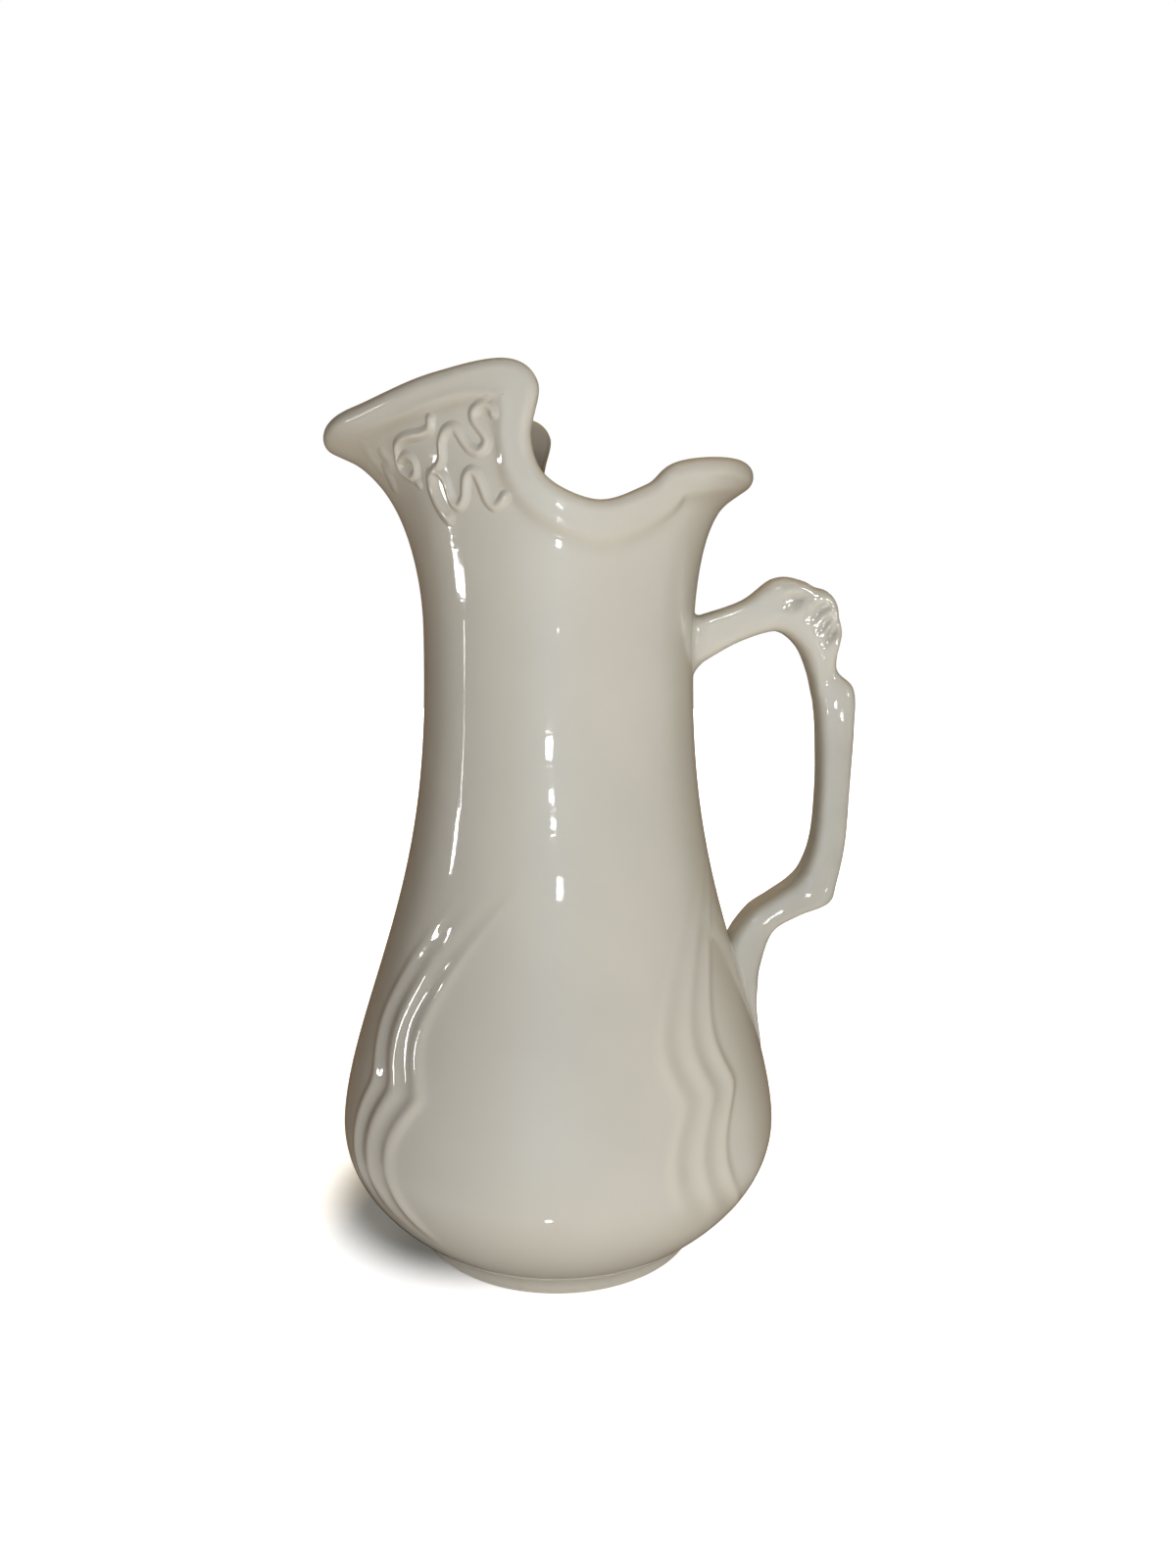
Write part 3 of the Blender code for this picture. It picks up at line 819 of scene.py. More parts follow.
@dataclass(frozen=True)
class Body:
    """The cast body: belly, neck, eared flare, border band and rounded rim, hollow inside."""

    wall: Wall
    flutes: Flutes
    rim: Rim
    floor: float = 0.0042
    lean: float = math.radians(28)
    lean_end: float = math.radians(170)
    lean_fade: float = math.radians(70)
    toe_height: float = 0.012
    band_from: float = 0.122
    rows_up: tuple[int, ...] = (12, 42, 50, 16, 34, 15)
    crowding: float = 1.25
    settling: int = 20
    # Pooled glaze and painted shade in the flutes' valleys and at the seat, thin glaze and a painted
    # highlight on their crests.
    flute_pooling_and_shade: float = 0.6
    flute_thin_and_highlight_power: int = 3
    seat_pooling_and_shade: float = 0.0012
    rim_rows: int = 12
    inner_band: tuple[float, ...] = (0.0, 0.4, 1.0)
    inner_flare_rows: int = 12
    inner_flare_start: float = 0.92
    inner_rows: int = 19
    inner_turn: float = 3.0
    # Rows down the lining where the painted shade inside the jug begins and fades in.
    inside_shade_rows: tuple[int, int] = (7, 6)
    under_rings: tuple[tuple[float, float], ...] = ((0.35, 0.0006), (0.8, 0.0002))
    under_dome: float = 0.0001
    floor_rings: tuple[float, ...] = (0.75, 0.4)

    def column_lean(self, azimuth: Array, z: Array) -> Array:
        """How far the columns lean round, so that they come up into the ears without crossing.

        It grows in proportion to the height above the saddles, and fades by a smooth step at lip and spout.

        Args:
            azimuth: Azimuths.
            z: Heights.

        Returns:
            The azimuth that the column leans by at each.
        """
        off = centred(azimuth)
        high = np.maximum(z - self.wall.saddle_height, 0) / (self.wall.ear_height - self.wall.saddle_height)
        share = ease(np.abs(off) / self.lean_fade) * ease((self.lean_end - np.abs(off)) / self.lean_fade)
        return np.sign(off) * self.lean * high * share

    def columns_up(self, foot: Array, t: float) -> tuple[Array, Array]:
        """The columns a share of the way from the neck to the foot of the band.

        Azimuth and lean add up to the same all the way, which is solved by putting the azimuth in again.

        Args:
            foot: Azimuth and height along the foot of the band.
            t: The share.

        Returns:
            Azimuths and heights.
        """
        start = foot[:, 0] + self.column_lean(*foot.T)
        z = mix(self.wall.neck_height, foot[:, 1], t)
        azimuth = start
        for _ in range(self.settling):
            azimuth = start - self.column_lean(azimuth, z)
        return azimuth, z

    def skin(self) -> tuple[Array, Array, Array]:
        """Rows up the outside, given as azimuth, height and rise and turned into places.

        The rise is the wave of the flutes below and the border band above.

        Returns:
            Points, pooled glaze with painted shade, and thin glaze with a painted highlight, each in rows and
            columns.
        """
        wall, flutes, rim = self.wall, self.flutes, self.rim
        outline = rim.outline()
        count = len(outline)
        widths = rim.widths(outline[:, 1]) + rim.rise
        foot = rim.inset(outline, widths)
        neck = self.columns_up(foot, 0.0)[0]
        even = np.arange(count) * 2 * np.pi / count
        toe_rows, lobe_rows, tail_rows, neck_rows, flare_rows, band_rows = self.rows_up
        heights = np.concatenate(
            [
                np.linspace(wall.seat_height, self.toe_height, toe_rows, endpoint=False),
                np.linspace(self.toe_height, flutes.cusp_height, lobe_rows, endpoint=False),
                np.linspace(flutes.cusp_height, flutes.top, tail_rows, endpoint=False),
            ]
        )
        turn = flutes.swirl(heights) - flutes.swirl(np.array(flutes.top))
        azimuths = [even + angle for angle in turn]
        levels = [np.full(count, z) for z in heights]
        for t in np.linspace(0, 1, neck_rows, endpoint=False):
            azimuths.append(mix(even, neck, ease(t)))
            levels.append(np.full(count, mix(flutes.top, wall.neck_height, t)))
        for t in 1 - (1 - np.linspace(0, 1, flare_rows, endpoint=False)) ** self.crowding:
            azimuth, z = self.columns_up(foot, t)
            azimuths.append(azimuth)
            levels.append(z)
        for t in np.linspace(0, 1, band_rows):
            line = rim.inset(outline, mix(widths, rim.rounding, t))
            azimuths.append(line[:, 0])
            levels.append(line[:, 1])
        azimuth, z = np.array(azimuths), np.array(levels)

        wave, strength = flutes.wave(azimuth, z)
        rise = flutes.rise * wave * strength
        # Pooled glaze and painted shade darken the flutes' valleys; thin glaze and a painted highlight
        # lighten their crests.
        pooling_and_shade = self.flute_pooling_and_shade * (1 - wave) ** 2 * strength
        thin_and_highlight = wave**self.flute_thin_and_highlight_power * strength
        high = z > self.band_from
        rise[high], pooling_and_shade[high] = rim.band(wall.plain(azimuth[high], z[high]))
        # Pooled glaze and painted shade darken a narrow band where the belly meets the foot.
        pooling_and_shade += bell(z - wall.seat_height, self.seat_pooling_and_shade)
        return wall.point(azimuth, z, rise), pooling_and_shade, thin_and_highlight

    def lining(self) -> tuple[Array, Array]:
        """Rows over the rim, half round in section, and down the inside to the floor.

        Returns:
            Points in rows and columns, and thin glaze with a painted highlight along the top of the rim.
        """
        wall, rim = self.wall, self.rim
        outline = rim.outline()
        rows, thin_and_highlight = [], []
        middle, half = (wall.thickness - rim.rise) / 2, (wall.thickness + rim.rise) / 2
        for angle in np.linspace(0, np.pi, self.rim_rows + 2)[1:-1]:
            # A hair over 1 keeps the crest off the outline itself, where the inset has no direction.
            line = rim.inset(outline, rim.rounding * (1.0001 - math.sin(angle)))
            rows.append(wall.point(*line.T, -(middle - half * math.cos(angle))))
            # Thin glaze and a painted highlight, strongest on the top of the rounded rim.
            thin_and_highlight.append(math.sin(angle) ** 2)
        for t in self.inner_band:
            line = rim.inset(outline, mix(rim.rounding, rim.widths(outline[:, 1]), t))
            rows.append(wall.point(*line.T, -wall.thickness))
            thin_and_highlight.append(0.0)
        foot = rim.inset(outline, rim.widths(outline[:, 1]) + rim.rise)
        for t in np.linspace(self.inner_flare_start, 0, self.inner_flare_rows):
            azimuth, z = self.columns_up(foot, t)
            rows.append(wall.point(azimuth, z, -wall.thickness))
            thin_and_highlight.append(0.0)
        neck = self.columns_up(foot, 0.0)[0]
        even = np.arange(len(neck)) * 2 * np.pi / len(neck)
        low = wall.seat_height + self.floor
        for t in np.linspace(0, 1, self.inner_rows)[1:]:
            z = mix(wall.neck_height, low, t)
            azimuth = mix(neck, even, ease(self.inner_turn * t))
            rows.append(wall.point(azimuth, np.full(len(neck), z), -wall.thickness))
            thin_and_highlight.append(0.0)
        return np.array(rows), np.repeat(np.array(thin_and_highlight)[:, None], len(neck), 1)

    def build(self, finish: Glaze) -> bpy.types.Object:
        """Joins the skin, the lining, the floor and the underside into one closed piece.

        Args:
            finish: The glaze that it is dipped in.

        Returns:
            The piece.
        """
        skin, pooling_and_shade, thin_and_highlight = self.skin()
        lining, edge = self.lining()
        count = skin.shape[1]
        axis = np.array([self.wall.axis_x, 0, 0])
        under = [
            (skin[0] - axis) * [share, share, 1] + axis + [0, 0, lift] for share, lift in self.under_rings
        ]
        base = [(lining[-1] - axis) * [share, share, 1] + axis for share in self.floor_rings]
        rows = np.concatenate([under, skin, lining, base])
        middles = axis + [[0, 0, rows[0, 0, 2] + self.under_dome], [0, 0, rows[-1, :, 2].mean()]]
        points = np.vstack([rows.reshape(-1, 3), middles])
        fans = end_fans(count, (len(rows) - 1) * count, len(points) - 2)
        below = np.zeros(len(under) * count)
        ends = np.zeros(len(base) * count + len(middles))
        # Painted shade inside the jug: it fades in down the lining and covers the inner floor and the middle
        # of the underside.
        start, fade = self.inside_shade_rows
        inside = np.repeat(ease((np.arange(len(lining)) - start) / fade), count)
        inside_shaded = np.concatenate([below, 0 * thin_and_highlight.ravel(), inside, ends + 1])
        pooling_and_shade = np.concatenate([below, pooling_and_shade.ravel(), 0 * edge.ravel(), ends])
        thin_and_highlight = np.concatenate([below, thin_and_highlight.ravel(), edge.ravel(), ends])
        faces = [grid_faces(len(rows), count), fans]
        clay = Clay("body_glazed", points, faces, pooling_and_shade, thin_and_highlight, inside_shaded=inside_shaded)
        return clay.fire(finish.material("body_glaze"), Slot.GLAZE, "body")


@dataclass(frozen=True)
class FootRing:
    """The low ring that the jug stands on, wiped bare along its standing edge."""

    wall: Wall
    radius: float = 0.0273
    bore: float = 0.0234
    rounding: float = 0.0006
    cove_foot: float = 0.0014
    cove_top: float = 0.0046
    cove_lip: float = 0.00015
    cove_aim: float = 0.0004
    cove_lift: float = 0.3
    sunk: float = 0.00004
    tuck: tuple[float, float] = (0.0005, 0.0010)
    tuck_height: float = 0.0036
    wiped: tuple[float, float] = (0.0002, 0.0006)
    # Pooled glaze and painted shade in the cove: its height, width and strength.
    pool_and_shade_height: float = 0.0026
    pool_and_shade_width: float = 0.0018
    pooling_and_shade: float = 0.9
    sides: int = 240
    round_rows: int = 9
    cove_rows: int = 14

    def section(self) -> Array:
        """Radius and height round the ring: quarter rounds at the standing edge, and a cove to the belly.

        The cove is a quadratic curve from the ring to the belly.

        Returns:
            The closed section, turning so that its faces point out.
        """
        turn = np.linspace(0, np.pi / 2, self.round_rows)
        flat, steep = self.rounding * (1 - np.cos(turn)), self.rounding * (1 - np.sin(turn))
        outside = np.stack([self.radius - flat, steep], -1)
        inside = np.stack([self.bore + steep, flat], -1)
        start = np.array([self.radius + self.cove_lip, self.cove_foot])
        end = np.array([float(self.wall.turned_radius(np.array(self.cove_top))) - self.sunk, self.cove_top])
        lift = mix(self.wall.seat_height, self.cove_top, self.cove_lift)
        aim = np.array([self.radius + self.cove_aim, lift])
        t = np.linspace(1, 0, self.cove_rows)[:, None]
        cove = (1 - t) ** 2 * start + 2 * t * (1 - t) * aim + t**2 * end
        tuck = np.array([self.bore, self.wall.seat_radius]) - self.tuck
        back = np.stack([tuck, np.full(2, self.tuck_height)], -1)
        return np.vstack([cove, outside, inside, back])[::-1]

    def build(self, finish: Glaze) -> bpy.types.Object:
        """Turns the ring's section about the jug's axis.

        Args:
            finish: The glaze, which is wiped off below.

        Returns:
            The piece.
        """
        section = self.section()
        turn = np.linspace(0, 2 * np.pi, self.sides, endpoint=False)
        r, z = section[:, :1], section[:, 1:]
        points = np.stack([self.wall.axis_x + r * np.cos(turn), r * np.sin(turn), z + 0 * turn], -1)
        height = points[..., 2].ravel()
        start, fade = self.wiped
        # Pooled glaze and painted shade darken the cove where the ring meets the belly.
        clay = Clay(
            "foot_ring_glazed",
            points.reshape(-1, 3),
            [grid_faces(len(section), self.sides, wrap_rows=True)],
            pooling_and_shade=self.pooling_and_shade * bell(height - self.pool_and_shade_height, self.pool_and_shade_width),
            bare=1 - ease((height - start) / fade),
        )
        return clay.fire(finish.material("foot_ring_glaze"), Slot.FOOT, "foot_ring")


@dataclass(frozen=True)
class Scoop:
    """A hollow of the knuckle's leaf: its middle off the axis and up, its half sizes and its slant."""

    middle: float
    height: float
    length: float
    breadth: float
    slant: float

    def depth(self, x: Array, z: Array) -> Array:
        """Depth from 0 to 1: a bell along the slant times a bell across it.

        Args:
            x: Distances from the jug's axis towards the handle.
            z: Heights.

        Returns:
            The depth for each place.
        """
        c, s = math.cos(self.slant), math.sin(self.slant)
        along = (x - self.middle) * c + (z - self.height) * s
        beside = (z - self.height) * c - (x - self.middle) * s
        return bell(along, self.length) * bell(beside, self.breadth)


@dataclass(frozen=True)
class Handle:
    """The cast loop handle with a leafy knuckle, and the two lutes of slip that hold it."""

    wall: Wall
    reach: float = 0.0565
    crown: float = 0.1295
    elbow: float = 0.0692
    root_height: float = 0.1168
    root_depth: float = 0.0098
    root_width: float = 0.0104
    seat_top: float = 0.0588
    seat_foot: float = 0.0430
    tail_places: tuple[float, ...] = (0, 0.35, 0.7, 1, 1.25, 1.45)
    tail_depths: tuple[float, ...] = (0.0074, 0.0047, 0.0023, 0.0011, 0.0004, -0.0002)
    tail_width: float = 0.0102
    tail_slant: float = math.radians(-38)
    tail_narrowing: float = 0.5
    tip_narrowing: float = 1.1
    section_power: float = 0.56
    sides: int = 64
    per_span: int = 14
    sunk: float = 0.0007
    root_bow: float = 0.8
    upper_fillet: float = 0.0015
    lower_fillet: float = 0.0020
    crook_lean: float = math.radians(52)
    feather: float = 0.00004
    lute_rows: int = 15
    lute_ring: int = 5
    # Pooled glaze and painted shade in the middle of each lute's curve.
    lute_pooling_and_shade: float = 0.35
    lute_pool_and_shade_at: tuple[float, float] = (0.45, 0.3)
    lute_ahead: tuple[float, float] = (0.012, 0.22)
    lute_under: tuple[float, float] = (0.14, 0.25)
    upper_core: tuple[float, float, float] = (0.8, 0.8, -0.0008)
    lower_core: tuple[float, float, float] = (0.8, 0.9, -0.0012)
    tip_fillet: tuple[float, float] = (0.25, 1.3)
    tip_rise: tuple[float, float] = (0.15, 1.6)
    tip_lean: float = -0.2
    tail_tuck: float = 0.0003
    scoops: tuple[Scoop, ...] = (
        Scoop(0.0437, 0.1253, 0.0018, 0.00090, math.radians(12)),
        Scoop(0.0487, 0.1233, 0.0022, 0.00100, math.radians(33)),
        Scoop(0.0498, 0.1211, 0.0016, 0.00080, math.radians(42)),
        Scoop(0.0510, 0.1192, 0.0019, 0.00090, math.radians(58)),
    )
    scoop_depth: float = 0.36
    scallops: tuple[float, ...] = (3.40, 4.60, 5.50)
    scallop_width: float = 0.2
    scallop_depth: float = 0.07
    scallop_edge: tuple[float, float] = (0.2, 0.7)
    # Painted shade on the lower handle: where it starts, how it fades in, and how strong it is.
    grip_shade_top: float = 0.1180
    grip_shade_fade: float = 0.0250
    grip_shade: float = 0.95

    def stations(self) -> Array:
        """The sections of the loop, from the upper root to the tip of the tail, which lies on the belly.

        Returns:
            Outer x and z, inner x and z, and width of each.
        """
        reach, crown, elbow = self.reach, self.crown, self.elbow
        root, half = self.wall.neck_radius - self.sunk, self.root_depth / 2
        rows = [
            (root, self.root_height + half, root, self.root_height - half, self.root_width),
            (reach - 0.0221, crown - 0.0045, reach - 0.0241, crown - 0.0130, 0.0088),
            (reach - 0.0161, crown - 0.0003, reach - 0.0177, crown - 0.0105, 0.0090),
            (reach - 0.0110, crown - 0.0007, reach - 0.0143, crown - 0.0105, 0.0100),
            (reach - 0.0052, crown - 0.0036, reach - 0.0111, crown - 0.0133, 0.0106),
            (reach - 0.0033, crown - 0.0099, reach - 0.0091, crown - 0.0177, 0.0100),
            (reach - 0.0040, crown - 0.0169, reach - 0.0080, crown - 0.0220, 0.0086),
            (reach - 0.0006, crown - 0.0209, reach - 0.0075, crown - 0.0245, 0.0092),
            (reach - 0.0002, crown - 0.0280, reach - 0.0070, crown - 0.0300, 0.0092),
            (reach - 0.0006, crown - 0.0395, reach - 0.0067, crown - 0.0395, 0.0088),
            (reach - 0.0011, elbow + 0.0098, reach - 0.0073, elbow + 0.0108, 0.0088),
            (reach - 0.0025, elbow + 0.0018, reach - 0.0091, elbow + 0.0048, 0.0094),
            (reach - 0.0039, elbow - 0.0023, reach - 0.0116, elbow + 0.0017, 0.0096),
            (reach - 0.0099, elbow - 0.0050, reach - 0.0155, elbow - 0.0011, 0.0092),
            (reach - 0.0147, elbow - 0.0082, reach - 0.0197, elbow - 0.0043, 0.0096),
        ]
        t = np.array(self.tail_places)
        z = mix(self.seat_top, self.seat_foot, t)
        x = self.wall.turned_radius(z)
        depth = np.array(self.tail_depths)
        tail = [
            x + depth * math.cos(self.tail_slant),
            z + depth * math.sin(self.tail_slant),
            x - self.sunk,
            z,
            self.tail_breadth(np.minimum(t, 1)) * (1 - self.tip_narrowing * np.maximum(t - 1, 0)),
        ]
        return np.vstack([np.array(rows), np.stack(tail, -1)])

    def tail_breadth(self, t: Array) -> Array:
        """Width of the tail a share of the way down its seat: a square root of what a cube takes away."""
        return self.tail_width * np.sqrt(1 - self.tail_narrowing * t**3)

    def squarish(self) -> tuple[Array, Array]:
        """A rounded square: cosine and sine raised to a power, with their signs kept.

        Returns:
            Depth and breadth round it, from -1 to 1.
        """
        angle = np.linspace(0, 2 * np.pi, self.sides, endpoint=False)
        c, s = np.cos(angle), np.sin(angle)
        return np.sign(c) * np.abs(c) ** self.section_power, np.sign(s) * np.abs(s) ** self.section_power

    def rings(self) -> tuple[Array, Array]:
        """The squarish section carried along the stations.

        Scallops notch its outer edge at the knuckle, and the leaf's scoops pinch both flanks.

        Returns:
            Points in rows and columns, and the depth of the scoops from 0 to 1.
        """
        path = open_curve(self.stations(), self.per_span)
        place = np.arange(len(path))[:, None] / self.per_span
        depth, across = self.squarish()
        notch = sum(bell(place - scallop, self.scallop_width) for scallop in self.scallops)
        start, fade = self.scallop_edge
        notch = notch * ease((depth - start) / fade)
        middle = (path[:, 0:2] + path[:, 2:4]) / 2
        out = (path[:, 0:2] - path[:, 2:4]) / 2
        flat = middle[:, None, :] + ((1 - self.scallop_depth * notch) * depth)[..., None] * out[:, None, :]
        scoops = np.clip(sum(scoop.depth(flat[..., 0], flat[..., 1]) for scoop in self.scoops), 0, 1)
        y = (1 - self.scoop_depth * scoops) * across * path[:, 4:5] / 2
        points = np.stack([self.wall.axis_x + flat[..., 0], y, flat[..., 1]], -1)
        bow = np.sqrt(self.wall.neck_radius**2 - y**2) - self.wall.neck_radius
        points[..., 0] += bow * (1 - ease(place / self.root_bow))
        return points, scoops

    def build(self, finish: Glaze) -> bpy.types.Object:
        """Closes both ends of the loop inside the wall.

        Args:
            finish: The glaze that it is dipped in.

        Returns:
            The piece.
        """
        rings, scoops = self.rings()
        count = self.sides
        points = np.vstack([rings.reshape(-1, 3), rings[0].mean(0), rings[-1].mean(0)])
        fans = end_fans(count, (len(rings) - 1) * count, len(points) - 2)
        # Painted shade on the lower handle, below the top of the grip, and pooled glaze with painted shade in
        # the knuckle's scoops.
        grip_shading = self.grip_shade * ease((self.grip_shade_top - rings[..., 2]) / self.grip_shade_fade)
        pooling_and_shade = np.concatenate([np.maximum(scoops**2, grip_shading).ravel(), [0, 0]])
        clay = Clay("handle_glazed", points, [grid_faces(len(rings), count), fans], pooling_and_shade)
        return clay.fire(finish.material("shaded_handle_glaze"), Slot.GLAZE, "handle")

    def lute(
        self, name: str, outer: Array, corner: Array, inner: Array, core: Array, finish: Glaze
    ) -> bpy.types.Object:
        """A ring of slip whose section is a quadratic curve from the wall to the handle, closed inside both.

        It runs on a little along the handle before it turns under, which keeps its edge from showing.

        Args:
            name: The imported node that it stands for.
            outer: Closed line where it runs out on the wall.
            corner: Closed line where the handle meets the wall, which aims the curve.
            inner: Closed line where it runs out on the handle.
            core: Closed line inside the clay that closes the ring.
            finish: The glaze over it.

        Returns:
            The piece.
        """
        t = np.linspace(0, 1, self.lute_rows)[:, None, None]
        curve = (1 - t) ** 2 * outer + 2 * t * (1 - t) * corner + t**2 * inner
        ahead, under = (
            mix(inner, inner.mean(0), shrink) + run * (inner - corner)
            for shrink, run in (self.lute_ahead, self.lute_under)
        )
        rows = np.concatenate([curve, ahead[None], under[None], core[None]])
        # Pooled glaze and painted shade darken the middle of the slip's curve.
        place, width = self.lute_pool_and_shade_at
        pooling_and_shade = np.concatenate([bell(t[:, 0, 0] - place, width), [0.0, 0.0, 0.0]])
        clay = Clay(
            name + "_glazed",
            rows.reshape(-1, 3),
            [grid_faces(len(rows), len(outer), wrap_rows=True)],
            pooling_and_shade=self.lute_pooling_and_shade * np.repeat(pooling_and_shade, len(outer)),
        )
        return clay.fire(finish.material(name + "_glaze"), Slot.LUTE, name)

    def build_upper_lute(self, finish: Glaze) -> bpy.types.Object:
        """The slip round the upper root on the neck.

        Args:
            finish: The glaze over it.

        Returns:
            The piece.
        """
        depth, across = self.squarish()
        grow = self.upper_fillet
        half, deep = self.root_width / 2, self.root_depth / 2
        z = self.root_height
        outer = self.wall.beside_handle(across * (half + grow), z + depth * (deep + grow), -self.feather)
        corner = self.wall.beside_handle(across * half, z + depth * deep)
        inner = self.rings()[0][self.lute_ring]
        wide, high, out = self.upper_core
        core = self.wall.beside_handle(across * half * wide, z + depth * deep * high, out)
        return self.lute("upper_handle_lute", outer, corner, inner, core, finish)

    def build_lower_lute(self, finish: Glaze) -> bpy.types.Object:
        """The slip round the tail on the belly, which leans up into the crook and thins to the tip.

        Args:
            finish: The glaze over it.

        Returns:
            The piece.
        """
        up, across = self.squarish()
        middle = (self.seat_top + self.seat_foot) / 2
        half = (self.seat_top - self.seat_foot) / 2
        share = (up + 1) / 2
        least, growth = self.tip_fillet
        grow = self.lower_fillet * mix(least, 1.0, ease(share * growth))
        breadth = self.tail_breadth(1 - share) / 2
        lean = self.crook_lean * np.maximum(up, self.tip_lean)
        z = middle + up * half
        outer = self.wall.beside_handle(across * (breadth + grow), middle + up * (half + grow), -self.feather)
        corner = self.wall.beside_handle(across * breadth, z)
        least, growth = self.tip_rise
        rise = grow * mix(least, 1.0, ease(share * growth))
        lift, out = rise * np.sin(lean), rise * np.cos(lean)
        inner = self.wall.beside_handle(across * (breadth - self.tail_tuck), z + lift, out)
        wide, high, out = self.lower_core
        core = self.wall.beside_handle(across * breadth * wide, middle + up * half * high, out)
        return self.lute("lower_handle_lute", outer, corner, inner, core, finish)


@dataclass(frozen=True)
class Stroke:
    """A bead of the scroll: azimuths in degrees and heights in mm, and its shares of the rise and breadth."""

    places: tuple[tuple[float, float], ...]
    share: float = 1.0
    width: float = 1.0
    per_span: int = 8

    def line(self) -> Array:
        """A smooth line through its places, in radians and metres."""
        return open_curve(np.array(self.places) * [math.pi / 180, 0.001], self.per_span)


@dataclass(frozen=True)
class Scrolls:
    """Low scroll sprigs under the ears, on both flanks of the spout.

    They are drawn on the far flank, between the ear and the spout's nose, and mirrored.
    """

    rim: Rim
    rise: float = 0.00072
    breadth: float = 0.00138
    fullness: float = 0.95
    sunk: float = 0.00003
    bed: float = 0.0006
    # Pooled glaze and painted shade beside the beads, and thin glaze with a painted highlight on their tops.
    pooling_and_shade: float = 0.5
    pool_and_shade_width: float = 0.0006
    reach: tuple[float, float] = (103.0, 169.0)
    foot: float = 0.1370
    below_rim: float = 0.0022
    thin_and_highlight_power: int = 3
    columns: int = 360
    rows: int = 156
    strokes: tuple[Stroke, ...] = (
        # The hook, which closes in a ring.
        Stroke(
            (
                (131.0, 154.2), (132.0, 152.8), (133.8, 152.3), (136.9, 152.0), (140.3, 152.0),
                (143.5, 151.9), (146.6, 151.5), (149.1, 150.7), (150.6, 149.5), (151.7, 148.2),
                (151.8, 147.0), (149.8, 146.2), (146.9, 145.6), (143.9, 146.2), (142.9, 147.4),
                (143.5, 148.4), (145.6, 149.0), (148.3, 149.0), (150.5, 148.6),
            ),
        ),
        # The tail below the ring.
        Stroke(
            (
                (146.9, 145.6), (144.6, 144.8), (143.7, 144.4),
            ),
            share=0.55,
        ),
        # The upper wave, from the fork.
        Stroke(
            (
                (136.6, 144.9), (134.9, 145.7), (133.0, 146.3), (131.0, 146.9), (129.4, 148.0),
                (128.9, 149.3), (128.3, 150.6), (126.6, 151.8), (124.3, 152.4), (122.3, 152.3),
                (121.0, 151.4), (119.5, 150.1), (117.6, 149.0), (115.0, 148.5), (112.7, 149.0),
                (111.6, 150.1), (112.3, 151.3), (114.0, 152.5), (115.2, 153.5), (115.2, 154.5),
                (113.7, 155.3), (111.2, 155.6), (109.3, 155.0), (108.7, 154.2),
            ),
        ),
        # The lower wave, from the fork.
        Stroke(
            (
                (136.6, 144.9), (134.6, 145.8), (132.4, 145.9), (130.5, 145.2), (129.1, 144.0),
                (128.5, 142.7), (127.9, 141.3), (126.0, 140.3), (123.7, 140.5), (122.0, 141.7),
                (121.3, 143.3), (120.4, 144.7), (118.5, 145.5), (116.5, 145.1), (115.2, 143.8),
                (114.1, 142.2), (112.9, 140.8), (110.7, 139.9), (108.2, 140.4), (106.7, 141.4),
            ),
        ),
        # The limb that hangs from the fork.
        Stroke(
            (
                (136.0, 145.2), (136.6, 143.5), (135.7, 141.9), (134.2, 140.5), (132.2, 139.2),
                (130.5, 138.5),
            ),
            share=0.95,
            width=1.45,
        ),
        # The faint curl towards the spout.
        Stroke(
            (
                (157.4, 149.8), (156.7, 149.0), (157.8, 147.9), (161.1, 147.3), (161.6, 146.3),
                (162.2, 144.9),
            ),
            share=0.3,
            width=1.6,
        ),
        # The faintest sprig beside it.
        Stroke(
            (
                (161.5, 151.7), (163.4, 150.5), (164.2, 149.3), (164.1, 147.6),
            ),
            share=0.16,
            width=1.6,
        ),
    )

    def relief(self, places: Array) -> tuple[Array, Array]:
        """Rise of the beads by distance from their strokes: a full-bodied raised cosine across each.

        Args:
            places: Points on the plain wall.

        Returns:
            The rise, and from 0 to 1 how much pooled glaze and painted shade darken the wall beside the
            beads.
        """
        rise, nearest = np.zeros(len(places)), np.full(len(places), np.inf)
        for stroke in self.strokes:
            distance = distance_to_line(places, self.rim.wall.plain(*stroke.line().T))[0] / stroke.width
            rise = np.maximum(rise, stroke.share * self.rise * hump(distance / self.breadth) ** self.fullness)
            nearest = np.minimum(nearest, distance)
        return rise, bell(nearest - self.breadth, self.pool_and_shade_width)

    def build(self, side: Side, node: str, finish: Glaze) -> bpy.types.Object:
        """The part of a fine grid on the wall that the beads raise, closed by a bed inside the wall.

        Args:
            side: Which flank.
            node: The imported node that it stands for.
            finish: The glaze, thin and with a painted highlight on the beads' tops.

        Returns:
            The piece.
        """
        wall, rim = self.rim.wall, self.rim
        azimuth = np.radians(np.linspace(*self.reach, self.columns))
        outline = rim.outline()
        flank = outline[sum(rim.counts[: rim.ear_span]) : sum(rim.counts) + 1]
        top = np.interp(azimuth, flank[:, 0], flank[:, 1]) - self.below_rim
        z = mix(self.foot, top, np.linspace(0, 1, self.rows)[:, None])
        azimuth = np.broadcast_to(azimuth, z.shape)
        places = wall.plain(azimuth, z).reshape(-1, 3)
        rise, beside = self.relief(places)
        border, pooling_and_shade = rim.band(places)
        shape = z.shape
        top_sheet = wall.point(azimuth, z, (border + rise - self.sunk).reshape(shape)).reshape(-1, 3)
        bed_sheet = wall.point(azimuth, z, np.full(shape, -self.bed)).reshape(-1, 3)

